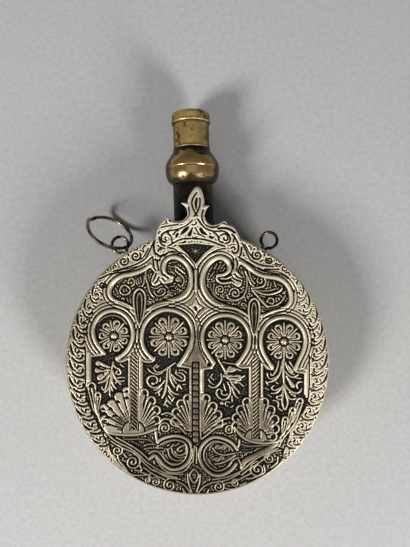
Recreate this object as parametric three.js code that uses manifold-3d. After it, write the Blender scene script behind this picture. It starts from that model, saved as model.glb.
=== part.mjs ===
import * as THREE from 'three';
import { ConvexGeometry } from 'three/addons/geometries/ConvexGeometry.js';
import { mergeVertices } from 'three/addons/utils/BufferGeometryUtils.js';
import Module from 'manifold-3d';

// Round powder flask of sheet metal, lying on its back.
// Millimetres. Origin at the middle of the back face, +Y up the neck, +Z out of the chased front.

// Drum
const plaqueRadius = 60;        // chased front, over its turned-down edge
const drumDepth = 29;           // back face to the face of the front plate
const bandWall = 1.2;
const plateSheet = 1;           // back plate and front plate
const backCorner = 2;           // rounded edge of the back plate
const backSkirt = 3;            // height of the back plate's turned-up edge
const seatGap = 0.3;            // gap between neighbouring pieces

// Chased plaque
const plaqueSheet = 0.9;
const plaqueSkirt = 4;          // depth of the turned-down edge
const plaqueTurn = -1.8;        // degrees; the sheet sits slightly askew on the neck
const tongueClear = 2.6;        // finial tip to the foot of the knop
const fieldDepth = 0.8;         // sunk fields below the flat metal
const rimRound = 1;             // how far the flat metal is drawn in from the edge
const ribHeight = 1.5;          // arches, columns and scroll frames, above the fields
const lineHeight = 1.1;         // thin lines and the fingers of the fans
const petalHeight = 0.8;
const cutDepth = 0.6;           // chased lines in the flat metal

// Neck, from the bore outwards
const boreRadius = 6.5;
const spoutWall = 1.2;
const spoutReach = 3;           // spout inside the drum
const sleeveWall = 1.7;
const saddleFlare = 1.75;
const saddleHeight = 8.2;
const sleeveLength = 16.7;
const knopSwell = 3.45;
const knopWall = 1;
const knopLowerHeight = 7;
const knopUpperHeight = 9.6;

// Cap
const capWall = 1;
const capTubeLength = 12;
const crownHeight = 5.1;
const crownLip = 0.55;          // how far the crown stands proud of the tube
const crownRound = 1.1;
const spigotLength = 2.6;
const washerThickness = 1.5;

// Suspension
const eyeletAngle = 33;         // degrees from the neck, on the band
const eyeletWire = 1.5;
const eyeletLoop = 7.9;         // loop diameter at the middle of the wire
const eyeletStand = 8.1;        // band to the loop's centre
const legGap = 0.2;
const clinchLength = 2.6;       // legs bent along the inside of the band
const ringDiameter = 22.6;      // at the middle of the wire
const ringWire = 1.8;
const ringTilt = 55.4;          // degrees out of the horizontal
const ringHeading = -35.4;      // degrees; level direction of the tilted ring
const ringInset = 1.9;          // from the loop's centre towards the drum
const ringSplit = 5;            // degrees left open where the ends meet
const ringSpring = 1;           // how far one end stands out past the other
const floorGap = 0.05;

// Facets
const drumSides = 60;
const neckSides = 24;
const wireSides = 8;

// Worked-out sizes
const bandRadius = plaqueRadius - plaqueSheet - seatGap;
const bandInner = bandRadius - bandWall;
const midZ = drumDepth / 2;
const plaqueBack = drumDepth + seatGap;
const plaqueFace = plaqueBack + plaqueSheet;
const spoutRadius = boreRadius + spoutWall;
const seatRadius = spoutRadius + seatGap;
const sleeveRadius = seatRadius + sleeveWall;
const saddleRadius = sleeveRadius + saddleFlare;
const knopRadius = sleeveRadius + knopSwell;
const capRadius = seatRadius + capWall;
const saddleTop = bandRadius + saddleHeight;
const sleeveFoot = saddleTop + seatGap;
const knopFoot = sleeveFoot + sleeveLength + seatGap;
const knopSeam = knopFoot + knopLowerHeight;
const knopTop = knopSeam + seatGap + knopUpperHeight;
const capFoot = knopTop + seatGap;
const capTop = capFoot + capTubeLength;
const crownFoot = capTop + seatGap;
const washerTop = crownFoot - spigotLength - seatGap;
const mouth = washerTop - washerThickness - seatGap;

const wasm = await Module();
wasm.setup();

const rad = THREE.MathUtils.degToRad;
const point = (x, y) => new THREE.Vector2(x, y);

// Joining and cutting
function toSolid(geometry) {
  const bare = geometry.clone();
  for (const name of Object.keys(bare.attributes)) {
    if (name !== 'position') bare.deleteAttribute(name);
  }
  const merged = mergeVertices(bare, 1e-4);
  const mesh = new wasm.Mesh({
    numProp: 3,
    vertProperties: new Float32Array(merged.attributes.position.array),
    triVerts: new Uint32Array(merged.index.array),
  });
  mesh.merge();
  return new wasm.Manifold(mesh);
}

function toGeometry(solid) {
  const mesh = solid.getMesh();
  const geometry = new THREE.BufferGeometry();
  geometry.setAttribute('position', new THREE.BufferAttribute(new Float32Array(mesh.vertProperties), 3));
  geometry.setIndex(new THREE.BufferAttribute(new Uint32Array(mesh.triVerts), 1));
  geometry.computeVertexNormals();
  return geometry;
}

// Turned pieces: the profile is a closed list of [radius, height]
function turned(profile, sides) {
  const points = profile.map(([r, y]) => point(r, y));
  points.push(points[0].clone());
  return new THREE.LatheGeometry(points, sides);
}

function smooth(controls, count) {
  const curve = new THREE.SplineCurve(controls.map(([x, y]) => point(x, y)));
  return curve.getPoints(count).map((p) => [p.x, p.y]);
}

function rod(radius, from, to, sides) {
  return new THREE.CylinderGeometry(radius, radius, to - from, sides).translate(0, (from + to) / 2, 0);
}

// Wire of round section along a curve
function wire(curve, diameter, steps) {
  const section = new THREE.Shape();
  section.absarc(0, 0, diameter / 2, 0, 2 * Math.PI);
  return new THREE.ExtrudeGeometry(section, {
    steps, extrudePath: curve, bevelEnabled: false, curveSegments: wireSides / 2,
  });
}

// Flask parts that stand on the drum's own axis are turned about Y, then laid along Z
const aboutZ = (geometry) => geometry.rotateX(Math.PI / 2);

function backPlate() {
  const corner = [];
  for (let i = 0; i <= 2; i++) {
    const a = rad(-90 + 45 * i);
    const centre = plaqueRadius - backCorner;
    corner.push([centre + backCorner * Math.cos(a), backCorner + backCorner * Math.sin(a)]);
  }
  const inner = plaqueRadius - plateSheet;
  const profile = [[0, 0], ...corner, [plaqueRadius, backSkirt], [inner, backSkirt]];
  profile.push([inner, backCorner], [inner - backCorner + plateSheet, plateSheet], [0, plateSheet]);
  return aboutZ(new THREE.LatheGeometry(profile.map(([r, z]) => point(r, z)), drumSides));
}

function alongEyelet(side, geometry) {
  return geometry.rotateZ(rad(-side * eyeletAngle)).translate(0, 0, midZ);
}

function sideBand() {
  const foot = Math.max(plateSheet, backCorner) + seatGap;
  const top = drumDepth - plateSheet - seatGap;
  const ring = turned([[bandInner, foot], [bandRadius, foot], [bandRadius, top], [bandInner, top]], drumSides);
  let band = toSolid(aboutZ(ring));
  const neckHole = rod(spoutRadius + seatGap, bandInner / 2, bandRadius + bandWall, neckSides);
  band = band.subtract(toSolid(neckHole.translate(0, 0, midZ)));
  const legHole = eyeletWire + legGap / 2 + seatGap;
  for (const side of [-1, 1]) {
    const hole = rod(legHole, bandInner - bandWall, bandRadius + bandWall, 2 * wireSides);
    band = band.subtract(toSolid(alongEyelet(side, hole)));
  }
  return toGeometry(band);
}

function frontPlate() {
  const foot = drumDepth - plateSheet;
  return aboutZ(new THREE.LatheGeometry([
    point(0, foot), point(bandRadius, foot), point(bandRadius, drumDepth), point(0, drumDepth),
  ], drumSides));
}

// Neck pieces
function saddle() {
  const foot = bandRadius - saddleRadius * 0.4;
  const flare = smooth([
    [saddleRadius, bandRadius],
    [sleeveRadius + saddleFlare * 0.45, bandRadius + saddleHeight * 0.35],
    [sleeveRadius + saddleFlare * 0.1, bandRadius + saddleHeight * 0.7],
    [sleeveRadius, saddleTop],
  ], 6);
  const body = turned([[seatRadius, foot], [saddleRadius, foot], ...flare, [seatRadius, saddleTop]], neckSides);
  const bed = bandRadius + seatGap;
  const rim = plaqueRadius + seatGap;
  const low = backSkirt + seatGap;
  const high = plaqueFace - plaqueSkirt - seatGap;
  const drum = aboutZ(new THREE.LatheGeometry([
    point(0, -saddleRadius), point(rim, -saddleRadius), point(rim, low), point(bed, low),
    point(bed, high), point(rim, high), point(rim, drumDepth + saddleRadius), point(0, drumDepth + saddleRadius),
  ], drumSides));
  return toGeometry(toSolid(body.translate(0, 0, midZ)).subtract(toSolid(drum)));
}

function spoutTube() {
  const foot = bandInner - spoutReach;
  return turned([[boreRadius, foot], [spoutRadius, foot], [spoutRadius, mouth], [boreRadius, mouth]], neckSides);
}

function neckSleeve() {
  const top = sleeveFoot + sleeveLength;
  return turned([
    [seatRadius, sleeveFoot], [sleeveRadius, sleeveFoot], [sleeveRadius, top], [seatRadius, top],
  ], neckSides);
}

// Pressed half shell: outer curve out from the seat to the seam, inner curve one wall inside it
function halfShell(outer, seatY, inwards) {
  const seam = outer[outer.length - 1];
  const inner = outer.slice(1, -1).map(([r, y]) => [Math.max(r - knopWall, seatRadius), y + inwards * knopWall / 2]);
  const profile = [[seatRadius, seatY], ...outer, [seam[0] - knopWall, seam[1]], ...inner.reverse()];
  profile.push([seatRadius, seatY + inwards * knopWall]);
  if (inwards < 0) profile.reverse();
  return turned(profile, neckSides);
}

function knopLower() {
  const swell = smooth([
    [sleeveRadius, knopFoot],
    [sleeveRadius + knopSwell * 0.55, knopFoot + knopLowerHeight * 0.22],
    [sleeveRadius + knopSwell * 0.9, knopFoot + knopLowerHeight * 0.6],
    [knopRadius, knopSeam],
  ], 6);
  return halfShell(swell, knopFoot, 1);
}

function knopUpper() {
  const rise = knopRadius - capRadius;
  const swell = smooth([
    [capRadius, knopTop],
    [capRadius + rise * 0.1, knopTop - knopUpperHeight * 0.16],
    [capRadius + rise * 0.52, knopTop - knopUpperHeight * 0.42],
    [capRadius + rise * 0.9, knopTop - knopUpperHeight * 0.72],
    [knopRadius, knopSeam + seatGap],
  ], 7);
  return halfShell(swell, knopTop, -1);
}

function capTube() {
  return turned([[seatRadius, capFoot], [capRadius, capFoot], [capRadius, capTop], [seatRadius, capTop]], neckSides);
}

function capCrown() {
  const radius = capRadius + crownLip;
  const spigot = seatRadius - seatGap;
  const top = crownFoot + crownHeight;
  const profile = [[0, crownFoot - spigotLength], [spigot, crownFoot - spigotLength], [spigot, crownFoot]];
  profile.push([radius, crownFoot]);
  for (let i = 0; i <= 3; i++) {
    const a = rad(30 * i);
    profile.push([radius - crownRound + crownRound * Math.cos(a), top - crownRound + crownRound * Math.sin(a)]);
  }
  profile.push([0, top]);
  return new THREE.LatheGeometry(profile.map(([r, y]) => point(r, y)), neckSides);
}

function capWasher() {
  const radius = seatRadius - seatGap;
  return rod(radius, washerTop - washerThickness, washerTop, neckSides);
}

// Suspension: one wire, from a clinched end through the band, round the loop and back
function eyelet(side) {
  const leg = (eyeletWire + legGap) / 2;
  const bend = eyeletWire * 0.8;
  const inside = bandInner - seatGap - eyeletWire / 2;
  const loop = eyeletLoop / 2;
  const centre = bandRadius + eyeletStand;
  const half = [
    [leg + bend + clinchLength, inside],
    [leg + bend, inside],
    [leg + bend * 0.3, inside + bend * 0.3],
    [leg, inside + bend],
    [leg, bandRadius + seatGap],
  ];
  for (let i = 0; i <= 6; i++) {
    const a = rad(-72 + 27 * i);
    half.push([loop * Math.cos(a), centre + loop * Math.sin(a)]);
  }
  const back = half.slice(0, -1).reverse().map(([x, y]) => [-x, y]);
  const path = [...half, ...back].map(([x, y]) => new THREE.Vector3(x, y, 0));
  const curve = new THREE.CatmullRomCurve3(path, false, 'centripetal');
  return alongEyelet(side, wire(curve, eyeletWire, 30));
}

// The ring leans on the surface that the flask lies on, and passes through the left eyelet
function ringPlace() {
  const r = ringDiameter / 2;
  const level = new THREE.Vector3(Math.cos(rad(ringHeading)), Math.sin(rad(ringHeading)), 0);
  const across = new THREE.Vector3(-level.y, level.x, 0);
  const slope = across.multiplyScalar(Math.cos(rad(ringTilt))).setZ(-Math.sin(rad(ringTilt)));
  const hold = bandRadius + eyeletStand - ringInset;
  const a = rad(eyeletAngle);
  const hook = new THREE.Vector3(-hold * Math.sin(a), hold * Math.cos(a), midZ);
  const height = r * Math.sin(rad(ringTilt)) + ringWire / 2 + floorGap;
  const s = (height - midZ) / (r * Math.sin(rad(ringTilt)));
  const c = Math.sqrt(1 - s * s);
  const centre = hook.clone().addScaledVector(level, -r * c).addScaledVector(slope, -r * s);
  return new THREE.Matrix4().makeBasis(level, slope, level.clone().cross(slope)).setPosition(centre);
}

function suspensionRing() {
  class SplitRing extends THREE.Curve {
    getPoint(t) {
      const turn = 180 + ringSplit / 2 + (360 - ringSplit) * t;
      const out = ringSpring * Math.max(0, 1 - t * 8) ** 2;
      const r = ringDiameter / 2 + out;
      return new THREE.Vector3(r * Math.cos(rad(turn)), r * Math.sin(rad(turn)), 0);
    }
  }
  return wire(new SplitRing(), ringWire, 36).applyMatrix4(ringPlace());
}

// Chased plaque. The design is drawn for a plaque of this radius and scaled to the one that is made.
const drawnRadius = 60;
const k = plaqueRadius / drawnRadius;
const bendLine = 66.2 * k;      // where the finial starts down towards the neck
const shoulderRight = 71;       // degrees; the shoulders rise from the round between these
const shoulderLeft = 108.7;

function outline(lists) {
  return new THREE.Shape(lists.flat().map(([x, y]) => point(x * k, y * k)));
}

function slab(shape, depth) {
  return new THREE.ExtrudeGeometry(shape, { depth, bevelEnabled: false });
}

// Draws the top of a slab in towards the middle, which bevels its edge
function drawIn(geometry, top, inset) {
  const { position } = geometry.attributes;
  for (let i = 0; i < position.count; i++) {
    const [x, y] = [position.getX(i), position.getY(i)];
    const share = position.getZ(i) > top / 2 ? 1 - inset / Math.hypot(x, y) : 1;
    position.setXY(i, x * share, y * share);
  }
  return geometry;
}

function sheetBody() {
  const round = [];
  const sweep = 360 - (shoulderLeft - shoulderRight);
  for (let i = 0; i <= drumSides; i++) {
    const a = rad(shoulderRight - sweep * i / drumSides);
    round.push([drawnRadius * Math.cos(a), drawnRadius * Math.sin(a)]);
  }
  const leftScroll = smooth([[-18.9, 58.6], [-18.2, 61.2], [-16.2, 64.2], [-13.5, 66.9]], 6);
  const leftSweep = smooth([[-12, 65.3], [-9.3, 64.7], [-6.6, 65.3], [-5, 67]], 6);
  const rightSweep = smooth([[3.1, 67], [4.1, 64.6], [6.4, 63.1], [9, 63.4], [12.4, 65]], 6);
  const rightScroll = smooth([[13.6, 63.5], [16, 62.4], [17.7, 60.3], [18.8, 58.2]], 5);
  const flat = slab(outline([round, leftScroll, leftSweep, rightSweep, rightScroll]), plaqueSheet + fieldDepth);
  return drawIn(flat, plaqueSheet + fieldDepth, rimRound);
}

function skirt() {
  const from = shoulderLeft - 360;
  const band = [];
  for (const r of [plaqueRadius, plaqueRadius - plaqueSheet]) {
    const arc = [];
    for (let i = 0; i <= drumSides; i++) {
      const a = rad(from + (shoulderRight - from) * i / drumSides);
      arc.push(point(r * Math.cos(a), r * Math.sin(a)));
    }
    band.push(...(r === plaqueRadius ? arc : arc.reverse()));
  }
  const drop = plaqueSkirt - plaqueSheet / 2;
  return slab(new THREE.Shape(band), drop).translate(0, 0, plaqueSheet / 2 - drop);
}

// Lily finial: drawn flat from the bend line, then tipped down until its point rests over the neck
function finial() {
  const left = [...smooth([[-4.9, -1], [-4.7, 2.8], [-5.6, 5.6], [-7.8, 7.9]], 6), [-4.5, 7.9]];
  const leaf = smooth([[-4.6, 9.8], [-3.4, 12.2], [-1.6, 15], [-0.2, 16.1], [1.2, 15], [2.3, 12.2], [2.9, 9]], 10);
  const right = [[3, 6.6], ...smooth([[5.3, 6.3], [4, 4.8], [3.2, 2.6], [3.1, -1]], 6)];
  const drawnLength = 16.1;
  const drop = plaqueBack - (midZ + sleeveRadius + seatGap);
  const reach = knopFoot - tongueClear - bendLine;
  const length = Math.hypot(reach, drop);
  const stretch = length / drawnLength;
  const points = [...left, ...leaf, ...right].map(([x, y]) => point(x * k, y * stretch));
  const leafShape = new THREE.Shape(points);
  return slab(leafShape, plaqueSheet + fieldDepth).rotateX(-Math.asin(drop / length)).translate(0, bendLine, 0);
}

// Raised lines, rooted in the sheet: a thick rib has a flat crest, a thin line comes to a ridge.
// A cut line is a groove in the flat metal.
function raised(curve, section, steps) {
  const shape = new THREE.Shape(section.map(([x, y]) => point(x, y)));
  const geometry = new THREE.ExtrudeGeometry(shape, { steps, extrudePath: curve, bevelEnabled: false });
  return geometry.translate(0, 0, plaqueSheet);
}

function planCurve(points) {
  return new THREE.CatmullRomCurve3(points.map(([x, y]) => new THREE.Vector3(x * k, y * k, 0)), false, 'centripetal');
}

const root = plaqueSheet / 2;

function rib(points, width, steps) {
  const side = width * k / 2;
  const crest = side * 0.55;
  return raised(planCurve(points), [[root, -side], [root, side], [-ribHeight, crest], [-ribHeight, -crest]], steps);
}

function line(points, width, steps) {
  const side = width * k / 2;
  return raised(planCurve(points), [[root, -side], [root, side], [-lineHeight, 0]], steps);
}

function cut(points, width, steps) {
  const side = width * k / 2;
  const above = -fieldDepth - root;
  return raised(planCurve(points), [[above, -side], [above, side], [cutDepth - fieldDepth, 0]], steps);
}

function arc([x, y], r, from, to, steps) {
  const points = [];
  for (let i = 0; i <= steps; i++) {
    const a = rad(from + (to - from) * i / steps);
    points.push([x + r * Math.cos(a), y + r * Math.sin(a)]);
  }
  return points;
}

// Petals and spearheads are pointed, the fingers of the fans have round ends
const pointed = [[0, 0], [0.6, -0.5], [0.6, 0.5], [1, 0]];
const rounded = [[0, -0.18], [0, 0.18], [0.72, -0.5], [0.72, 0.5], [0.92, -0.34], [0.92, 0.34], [1, 0]];

function lobe(plan, [x0, y0], [x1, y1], width, height) {
  const length = Math.hypot(x1 - x0, y1 - y0);
  const along = [(x1 - x0) / length, (y1 - y0) / length];
  const at = (part, across, z) => {
    const x = x0 + along[0] * length * part - along[1] * width * across;
    const y = y0 + along[1] * length * part + along[0] * width * across;
    return new THREE.Vector3(x * k, y * k, plaqueSheet + z);
  };
  const foot = plan.map(([part, across]) => at(part, across, -root));
  return new ConvexGeometry([...foot, at(0.2, 0, height * 0.6), at(0.75, 0, height)]);
}

function boss(x, y, r, height) {
  const dome = [point(0, 0), point(r, 0), point(r * 0.7, height), point(0, height)];
  const geometry = aboutZ(new THREE.LatheGeometry(dome, 6));
  return geometry.scale(k, k, (height + root) / height).translate(x * k, y * k, plaqueSheet - root);
}

// Horseshoe arches: middle, radius of the thick rib, and the angles of the two feet
const arches = [
  { at: [-38.6, 14.6], r: 9.1, from: -72, to: 246 },
  { at: [-13.8, 13.2], r: 11.4, from: -62, to: 238 },
  { at: [12.8, 11], r: 10.9, from: -64, to: 240 },
  { at: [38.9, 10.4], r: 10.3, from: -66, to: 246 },
];
const petalCount = 10;
const rosetteDrop = 1.2;        // rosette's middle below the arch's

function arcade() {
  const pieces = [];
  for (const { at, r, from, to } of arches) {
    const middle = [at[0], at[1] - rosetteDrop];
    pieces.push(rib(arc(at, r, from, to, 12), 1.8, 17));
    pieces.push(line(arc(at, r + 2.6, 20, 160, 6), 1, 7));
    pieces.push(boss(...middle, 1.5, ribHeight));
    for (let i = 0; i < petalCount; i++) {
      const a = rad(360 * (i + 0.5) / petalCount);
      const [tail, tip] = [2, r - 2.6].map((d) => [middle[0] + d * Math.cos(a), middle[1] + d * Math.sin(a)]);
      pieces.push(lobe(pointed, tail, tip, 3.4, petalHeight));
    }
  }
  return pieces;
}

// Columns between the arches, with plain strips beside each shaft
const columns = [
  { x: -28.6, top: 4.5, foot: -29.5, shaft: 3, strips: [-31.2, -26] },
  { x: 26.9, top: 3, foot: -31, shaft: 3.2, strips: [23.9, 29.4] },
];
const beadedColumn = { x: -0.8, top: -3, foot: -34, beads: 13, strips: [-3.3, 2] };

function colonnade() {
  const pieces = [];
  for (const { x, top, foot, shaft } of columns) pieces.push(rib([[x, top], [x, foot]], shaft, 1));
  for (const { top, foot, strips } of [...columns, beadedColumn]) {
    for (const x of strips) pieces.push(line([[x, top], [x, foot]], 1.2, 1));
  }
  const { x, top, foot, beads } = beadedColumn;
  for (let i = 0; i < beads; i++) pieces.push(boss(x, top + (foot - top) * i / (beads - 1), 1.1, ribHeight));
  return pieces;
}

// Shell fans at the feet of the columns: fingers with round ends, longest beside the column
const fans = [
  { at: [-28.6, -31], tall: 20, wide: 16.5 },
  { at: [-0.8, -31], tall: 18, wide: 14 },
  { at: [26.9, -34], tall: 19.4, wide: 12.5 },
];
const fingerAngles = [10, 28, 45, 61, 76, 104, 119, 135, 152, 170];

function shells() {
  const pieces = [];
  for (const { at, tall, wide } of fans) {
    for (const angle of fingerAngles) {
      const c = Math.cos(rad(angle));
      const s = Math.sin(rad(angle));
      const tip = [at[0] + wide * c, at[1] + tall * s];
      pieces.push(lobe(rounded, [at[0] + 4 * c, at[1] + 4 * s], tip, 3.3, lineHeight));
    }
  }
  return pieces;
}

// Scroll frames above and below the arcade
const frames = [
  [[-21.5, 44.8], [-29, 41], [-36, 39.2], [-40, 35.5], [-39.8, 30.8], [-35, 27.6], [-29.6, 25]],
  [[-11.5, 39.4], [-14.8, 41], [-15, 45.5], [-11, 48.4], [-5.2, 46], [-3, 39.5], [-5, 32], [-12, 28.2], [-23.5, 24.6]],
  [[9, 40], [13, 41], [14.4, 45], [10.2, 48.3], [4.6, 45.8], [2.2, 39], [4.2, 31], [10, 26.4], [17, 25], [23, 21.8]],
  [[19.6, 46.2], [26, 41.6], [33, 39.4], [39, 37.4], [42.4, 32], [41.6, 26.8], [35, 23.6], [28.6, 21.4]],
  [[-18.6, -35.6], [-14.6, -33.6], [-9.6, -33], [-4.4, -35.2], [-2.9, -40.4], [-5, -45.6],
    [-11, -48], [-16, -45.6], [-19.6, -42]],
  [[18, -38.8], [14.6, -35.2], [8, -33.6], [2.4, -36.4], [0.8, -42], [3.2, -47.8], [9.4, -50.6], [16, -47.6]],
];
const ridges = [
  [[-41, -31.4], [-34, -32.2], [-26, -32.2], [-19.4, -30]],
  [[16.6, -29], [20.6, -33.4], [26, -36], [35.4, -35.8]],
  [[-0.8, 43.6], [-0.8, 33]],
  [[-49.6, 5], [-49.6, -8]],
  [[49.5, -2], [49.5, -15]],
];
const cutLines = [
  [[-46.6, -17], [-44.4, -26], [-40, -33], [-31, -38.6], [-23, -44.6], [-12, -50], [-4, -50.6]],
  [[46.6, -20], [43, -28.5], [37, -37.8], [28, -42.4], [20.4, -48.4], [12, -52], [5, -53]],
  [[-13.6, 53.6], [-8, 56.4], [-1, 57.5], [7, 56.4], [14, 53.9]],
  [[-13, 52.4], [-6.4, 48.8], [-1, 42.6]],
  [[13.6, 52.4], [5.4, 49.6], [-0.8, 42.6]],
  [[-17, 61], [-8, 62.4], [-3, 65.4]],
  [[16.6, 60], [9, 60.8], [1.6, 64]],
  [[-19.2, 56], [-24, 48], [-33, 43.4], [-45, 38.6]],
  [[20.2, 55], [25, 46.4], [33, 42.6], [43, 38.8]],
];
const spears = [{ x: -26.9, top: 33.6, foot: 19.5 }, { x: 25.7, top: 29.6, foot: 15 }];
const lozenge = [[-0.8, 30.6], [3.4, 25.4], [-0.8, 20.2], [-5, 25.4]];
const shoulderCurls = [[-14.6, 57.2], [12.6, 57.3]];

function scrollwork() {
  const pieces = frames.map((points) => rib(points, 1.9, 2 * (points.length - 1)));
  for (const points of ridges) pieces.push(line(points, 1.2, points.length > 2 ? points.length + 1 : 1));
  for (const { x, top, foot } of spears) pieces.push(lobe(pointed, [x, foot], [x, top], 4.6, ribHeight));
  lozenge.forEach((corner, i) => pieces.push(line([corner, lozenge[(i + 1) % lozenge.length]], 1.2, 1)));
  return pieces;
}

// Fields sunk into the flat metal: cartouches, panels, leaves, roundels, spandrel, lozenge and the arches' insides
const fields = [
  [[-21.6, 43.6], [-28, 40.2], [-35, 38.4], [-39, 33.8], [-37.2, 29.4], [-31, 26.9], [-26.2, 24.4], [-19, 27.4],
    [-8.2, 31], [-4.4, 37.6], [-5.4, 43.4], [-10, 47.3], [-13.8, 46], [-15.2, 41], [-18.6, 40.8]],
  [[19.2, 45], [24, 41.6], [31, 38.6], [37.6, 37], [41.4, 31.6], [40, 26.6], [33, 23.8], [25.6, 21.2], [18, 25.4],
    [9.6, 27.8], [4.4, 33.4], [3.8, 41], [8, 46.6], [12.6, 46], [13.8, 42.2], [17, 41]],
  [[-48.4, 3], [-31.7, 3.4], [-31.7, -30.3], [-40.5, -30.2], [-44.2, -21], [-45.6, -12.5], [-48.4, -9.5]],
  [[-24.9, 0.6], [-19.5, 2], [-8, -1.8], [-3.9, -2.2], [-3.9, -30.5], [-11, -31.5], [-18.5, -28.5], [-24.9, -30.5]],
  [[3, -2.8], [8.4, 0.6], [19.5, -2.2], [23.2, -2.2], [23.2, -33.8], [17.5, -29.5], [9.5, -29.5], [3, -31.5]],
  [[29.9, -0.8], [35.2, 0.4], [45, -3.9], [48.4, -4.6], [48.4, -15.6], [44.8, -24], [38.4, -33], [29.9, -35.4]],
  [[-37, -33.4], [-27, -33.2], [-19.4, -31.6], [-17.2, -38.6], [-22.4, -42.4], [-29, -37.6]],
  [[20.2, -36.8], [27, -37.6], [34, -37], [26, -40.4], [20.4, -45.4], [17.8, -41.6]],
  [[-17.6, -37], [-14.6, -34.7], [-10, -33.9], [-5.4, -35.4], [-3.8, -40], [-5.4, -44.4], [-10, -47], [-15, -45.2],
    [-18.4, -40.8]],
  [[17, -39.4], [12.6, -35.4], [7.4, -34.6], [2.6, -38], [2, -43.4], [5.4, -48.6], [10.8, -49.6], [15.4, -46.4],
    [17.4, -42]],
  [[-9, 53.9], [-1, 54.6], [7.6, 53.6], [-0.9, 45.6]],
  lozenge,
  ...arches.map(({ at, r }) => arc(at, r, 0, 345, 14)),
];

function sunkFields() {
  return fields.map((points) => slab(outline([points]), ribHeight).translate(0, 0, plaqueSheet));
}

function cutWork() {
  const pieces = cutLines.map((points) => cut(points, 1.2, points.length + 1));
  for (const at of shoulderCurls) pieces.push(cut(arc(at, 2, -150, 150, 6), 1.2, 7));
  return pieces;
}

// Running scroll round the border: one open curl to each pitch, clear of the shoulders
const borderRadius = 54.6;
const curlCount = 34;
const curlRadius = 2.1;
const shoulderClear = 9;        // degrees

function border() {
  const pieces = [];
  const from = shoulderLeft + shoulderClear;
  const sweep = 360 + shoulderRight - shoulderClear - from;
  for (let i = 0; i < curlCount; i++) {
    const a = from + sweep * i / (curlCount - 1);
    const at = [borderRadius * Math.cos(rad(a)), borderRadius * Math.sin(rad(a))];
    pieces.push(cut(arc(at, curlRadius, a - 120, a + 130, 4), 1.2, 4));
  }
  return pieces;
}

function frontPlaque() {
  const join = (geometries) => wasm.Manifold.union(geometries.map(toSolid));
  const sheet = join([sheetBody(), skirt(), finial()]).subtract(join([...sunkFields(), ...cutWork(), ...border()]));
  const relief = join([...arcade(), ...colonnade(), ...shells(), ...scrollwork()]);
  return toGeometry(sheet.add(relief)).rotateZ(rad(plaqueTurn)).translate(0, 0, plaqueBack);
}

// Finishes
const silvered = { color: 0xcdc2a6, roughness: 0.38, metalness: 0.9 };
const oldBrass = { color: 0x8a744a, roughness: 0.45, metalness: 0.9 };
const brightBrass = { color: 0xa88a4e, roughness: 0.32, metalness: 0.95 };
const darkBrass = { color: 0x4a4638, roughness: 0.5, metalness: 0.85 };
const blackIron = { color: 0x2f2a26, roughness: 0.45, metalness: 0.9 };
const leather = { color: 0x5a3d28, roughness: 0.8, metalness: 0 };

const flask = new THREE.Group();

function add(parent, name, geometry, finish) {
  const mesh = new THREE.Mesh(geometry, new THREE.MeshStandardMaterial(finish));
  mesh.name = name;
  parent.add(mesh);
}

add(flask, 'back_plate', backPlate(), oldBrass);
add(flask, 'side_band', sideBand(), oldBrass);
add(flask, 'front_plate', frontPlate(), oldBrass);
add(flask, 'front_plaque', frontPlaque(), silvered);
add(flask, 'neck_saddle', saddle(), darkBrass);

const neck = new THREE.Group();
neck.position.z = midZ;
flask.add(neck);
add(neck, 'spout_tube', spoutTube(), oldBrass);
add(neck, 'neck_sleeve', neckSleeve(), darkBrass);
add(neck, 'knop_lower', knopLower(), brightBrass);
add(neck, 'knop_upper', knopUpper(), brightBrass);
add(neck, 'cap_tube', capTube(), brightBrass);
add(neck, 'cap_crown', capCrown(), brightBrass);
add(neck, 'cap_washer', capWasher(), leather);

add(flask, 'eyelet_left', eyelet(-1), blackIron);
add(flask, 'eyelet_right', eyelet(1), blackIron);
add(flask, 'suspension_ring', suspensionRing(), blackIron);

export default flask;
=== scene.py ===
import math

import bmesh
import bpy
import numpy as np
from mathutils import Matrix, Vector


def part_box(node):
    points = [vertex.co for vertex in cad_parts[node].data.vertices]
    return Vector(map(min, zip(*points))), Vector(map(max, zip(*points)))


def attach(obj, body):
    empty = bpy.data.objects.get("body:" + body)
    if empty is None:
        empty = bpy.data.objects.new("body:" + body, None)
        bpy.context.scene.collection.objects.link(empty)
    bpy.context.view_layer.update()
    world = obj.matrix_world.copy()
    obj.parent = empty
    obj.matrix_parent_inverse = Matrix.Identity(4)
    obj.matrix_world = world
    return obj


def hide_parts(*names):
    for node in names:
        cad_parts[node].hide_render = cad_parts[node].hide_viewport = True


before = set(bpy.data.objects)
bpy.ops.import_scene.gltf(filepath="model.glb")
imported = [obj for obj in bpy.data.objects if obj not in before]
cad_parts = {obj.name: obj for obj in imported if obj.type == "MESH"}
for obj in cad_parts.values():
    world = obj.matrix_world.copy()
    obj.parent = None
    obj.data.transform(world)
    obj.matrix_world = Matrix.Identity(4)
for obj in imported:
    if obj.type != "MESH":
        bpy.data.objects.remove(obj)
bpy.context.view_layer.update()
mm = 0.001
print("frame loaded:", len(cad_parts), "solids")


# Sizes that the pieces share, in millimetres, read from the frame
def nodeBox(name):
    low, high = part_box(name)
    return low / mm, high / mm


plateHigh = nodeBox("front_plate")[1]
plaqueHigh = nodeBox("front_plaque")[1]
backHigh = nodeBox("back_plate")[1]
bandLow, bandHigh = nodeBox("side_band")
spoutLow, spoutHigh = nodeBox("spout_tube")
sleeveLow, sleeveHigh = nodeBox("neck_sleeve")
saddleLow, saddleHigh = nodeBox("neck_saddle")
knopLowerLow, knopLowerHigh = nodeBox("knop_lower")
knopUpperLow, knopUpperHigh = nodeBox("knop_upper")
capLow, capHigh = nodeBox("cap_tube")
crownLow, crownHigh = nodeBox("cap_crown")
washerLow, washerHigh = nodeBox("cap_washer")

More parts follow.
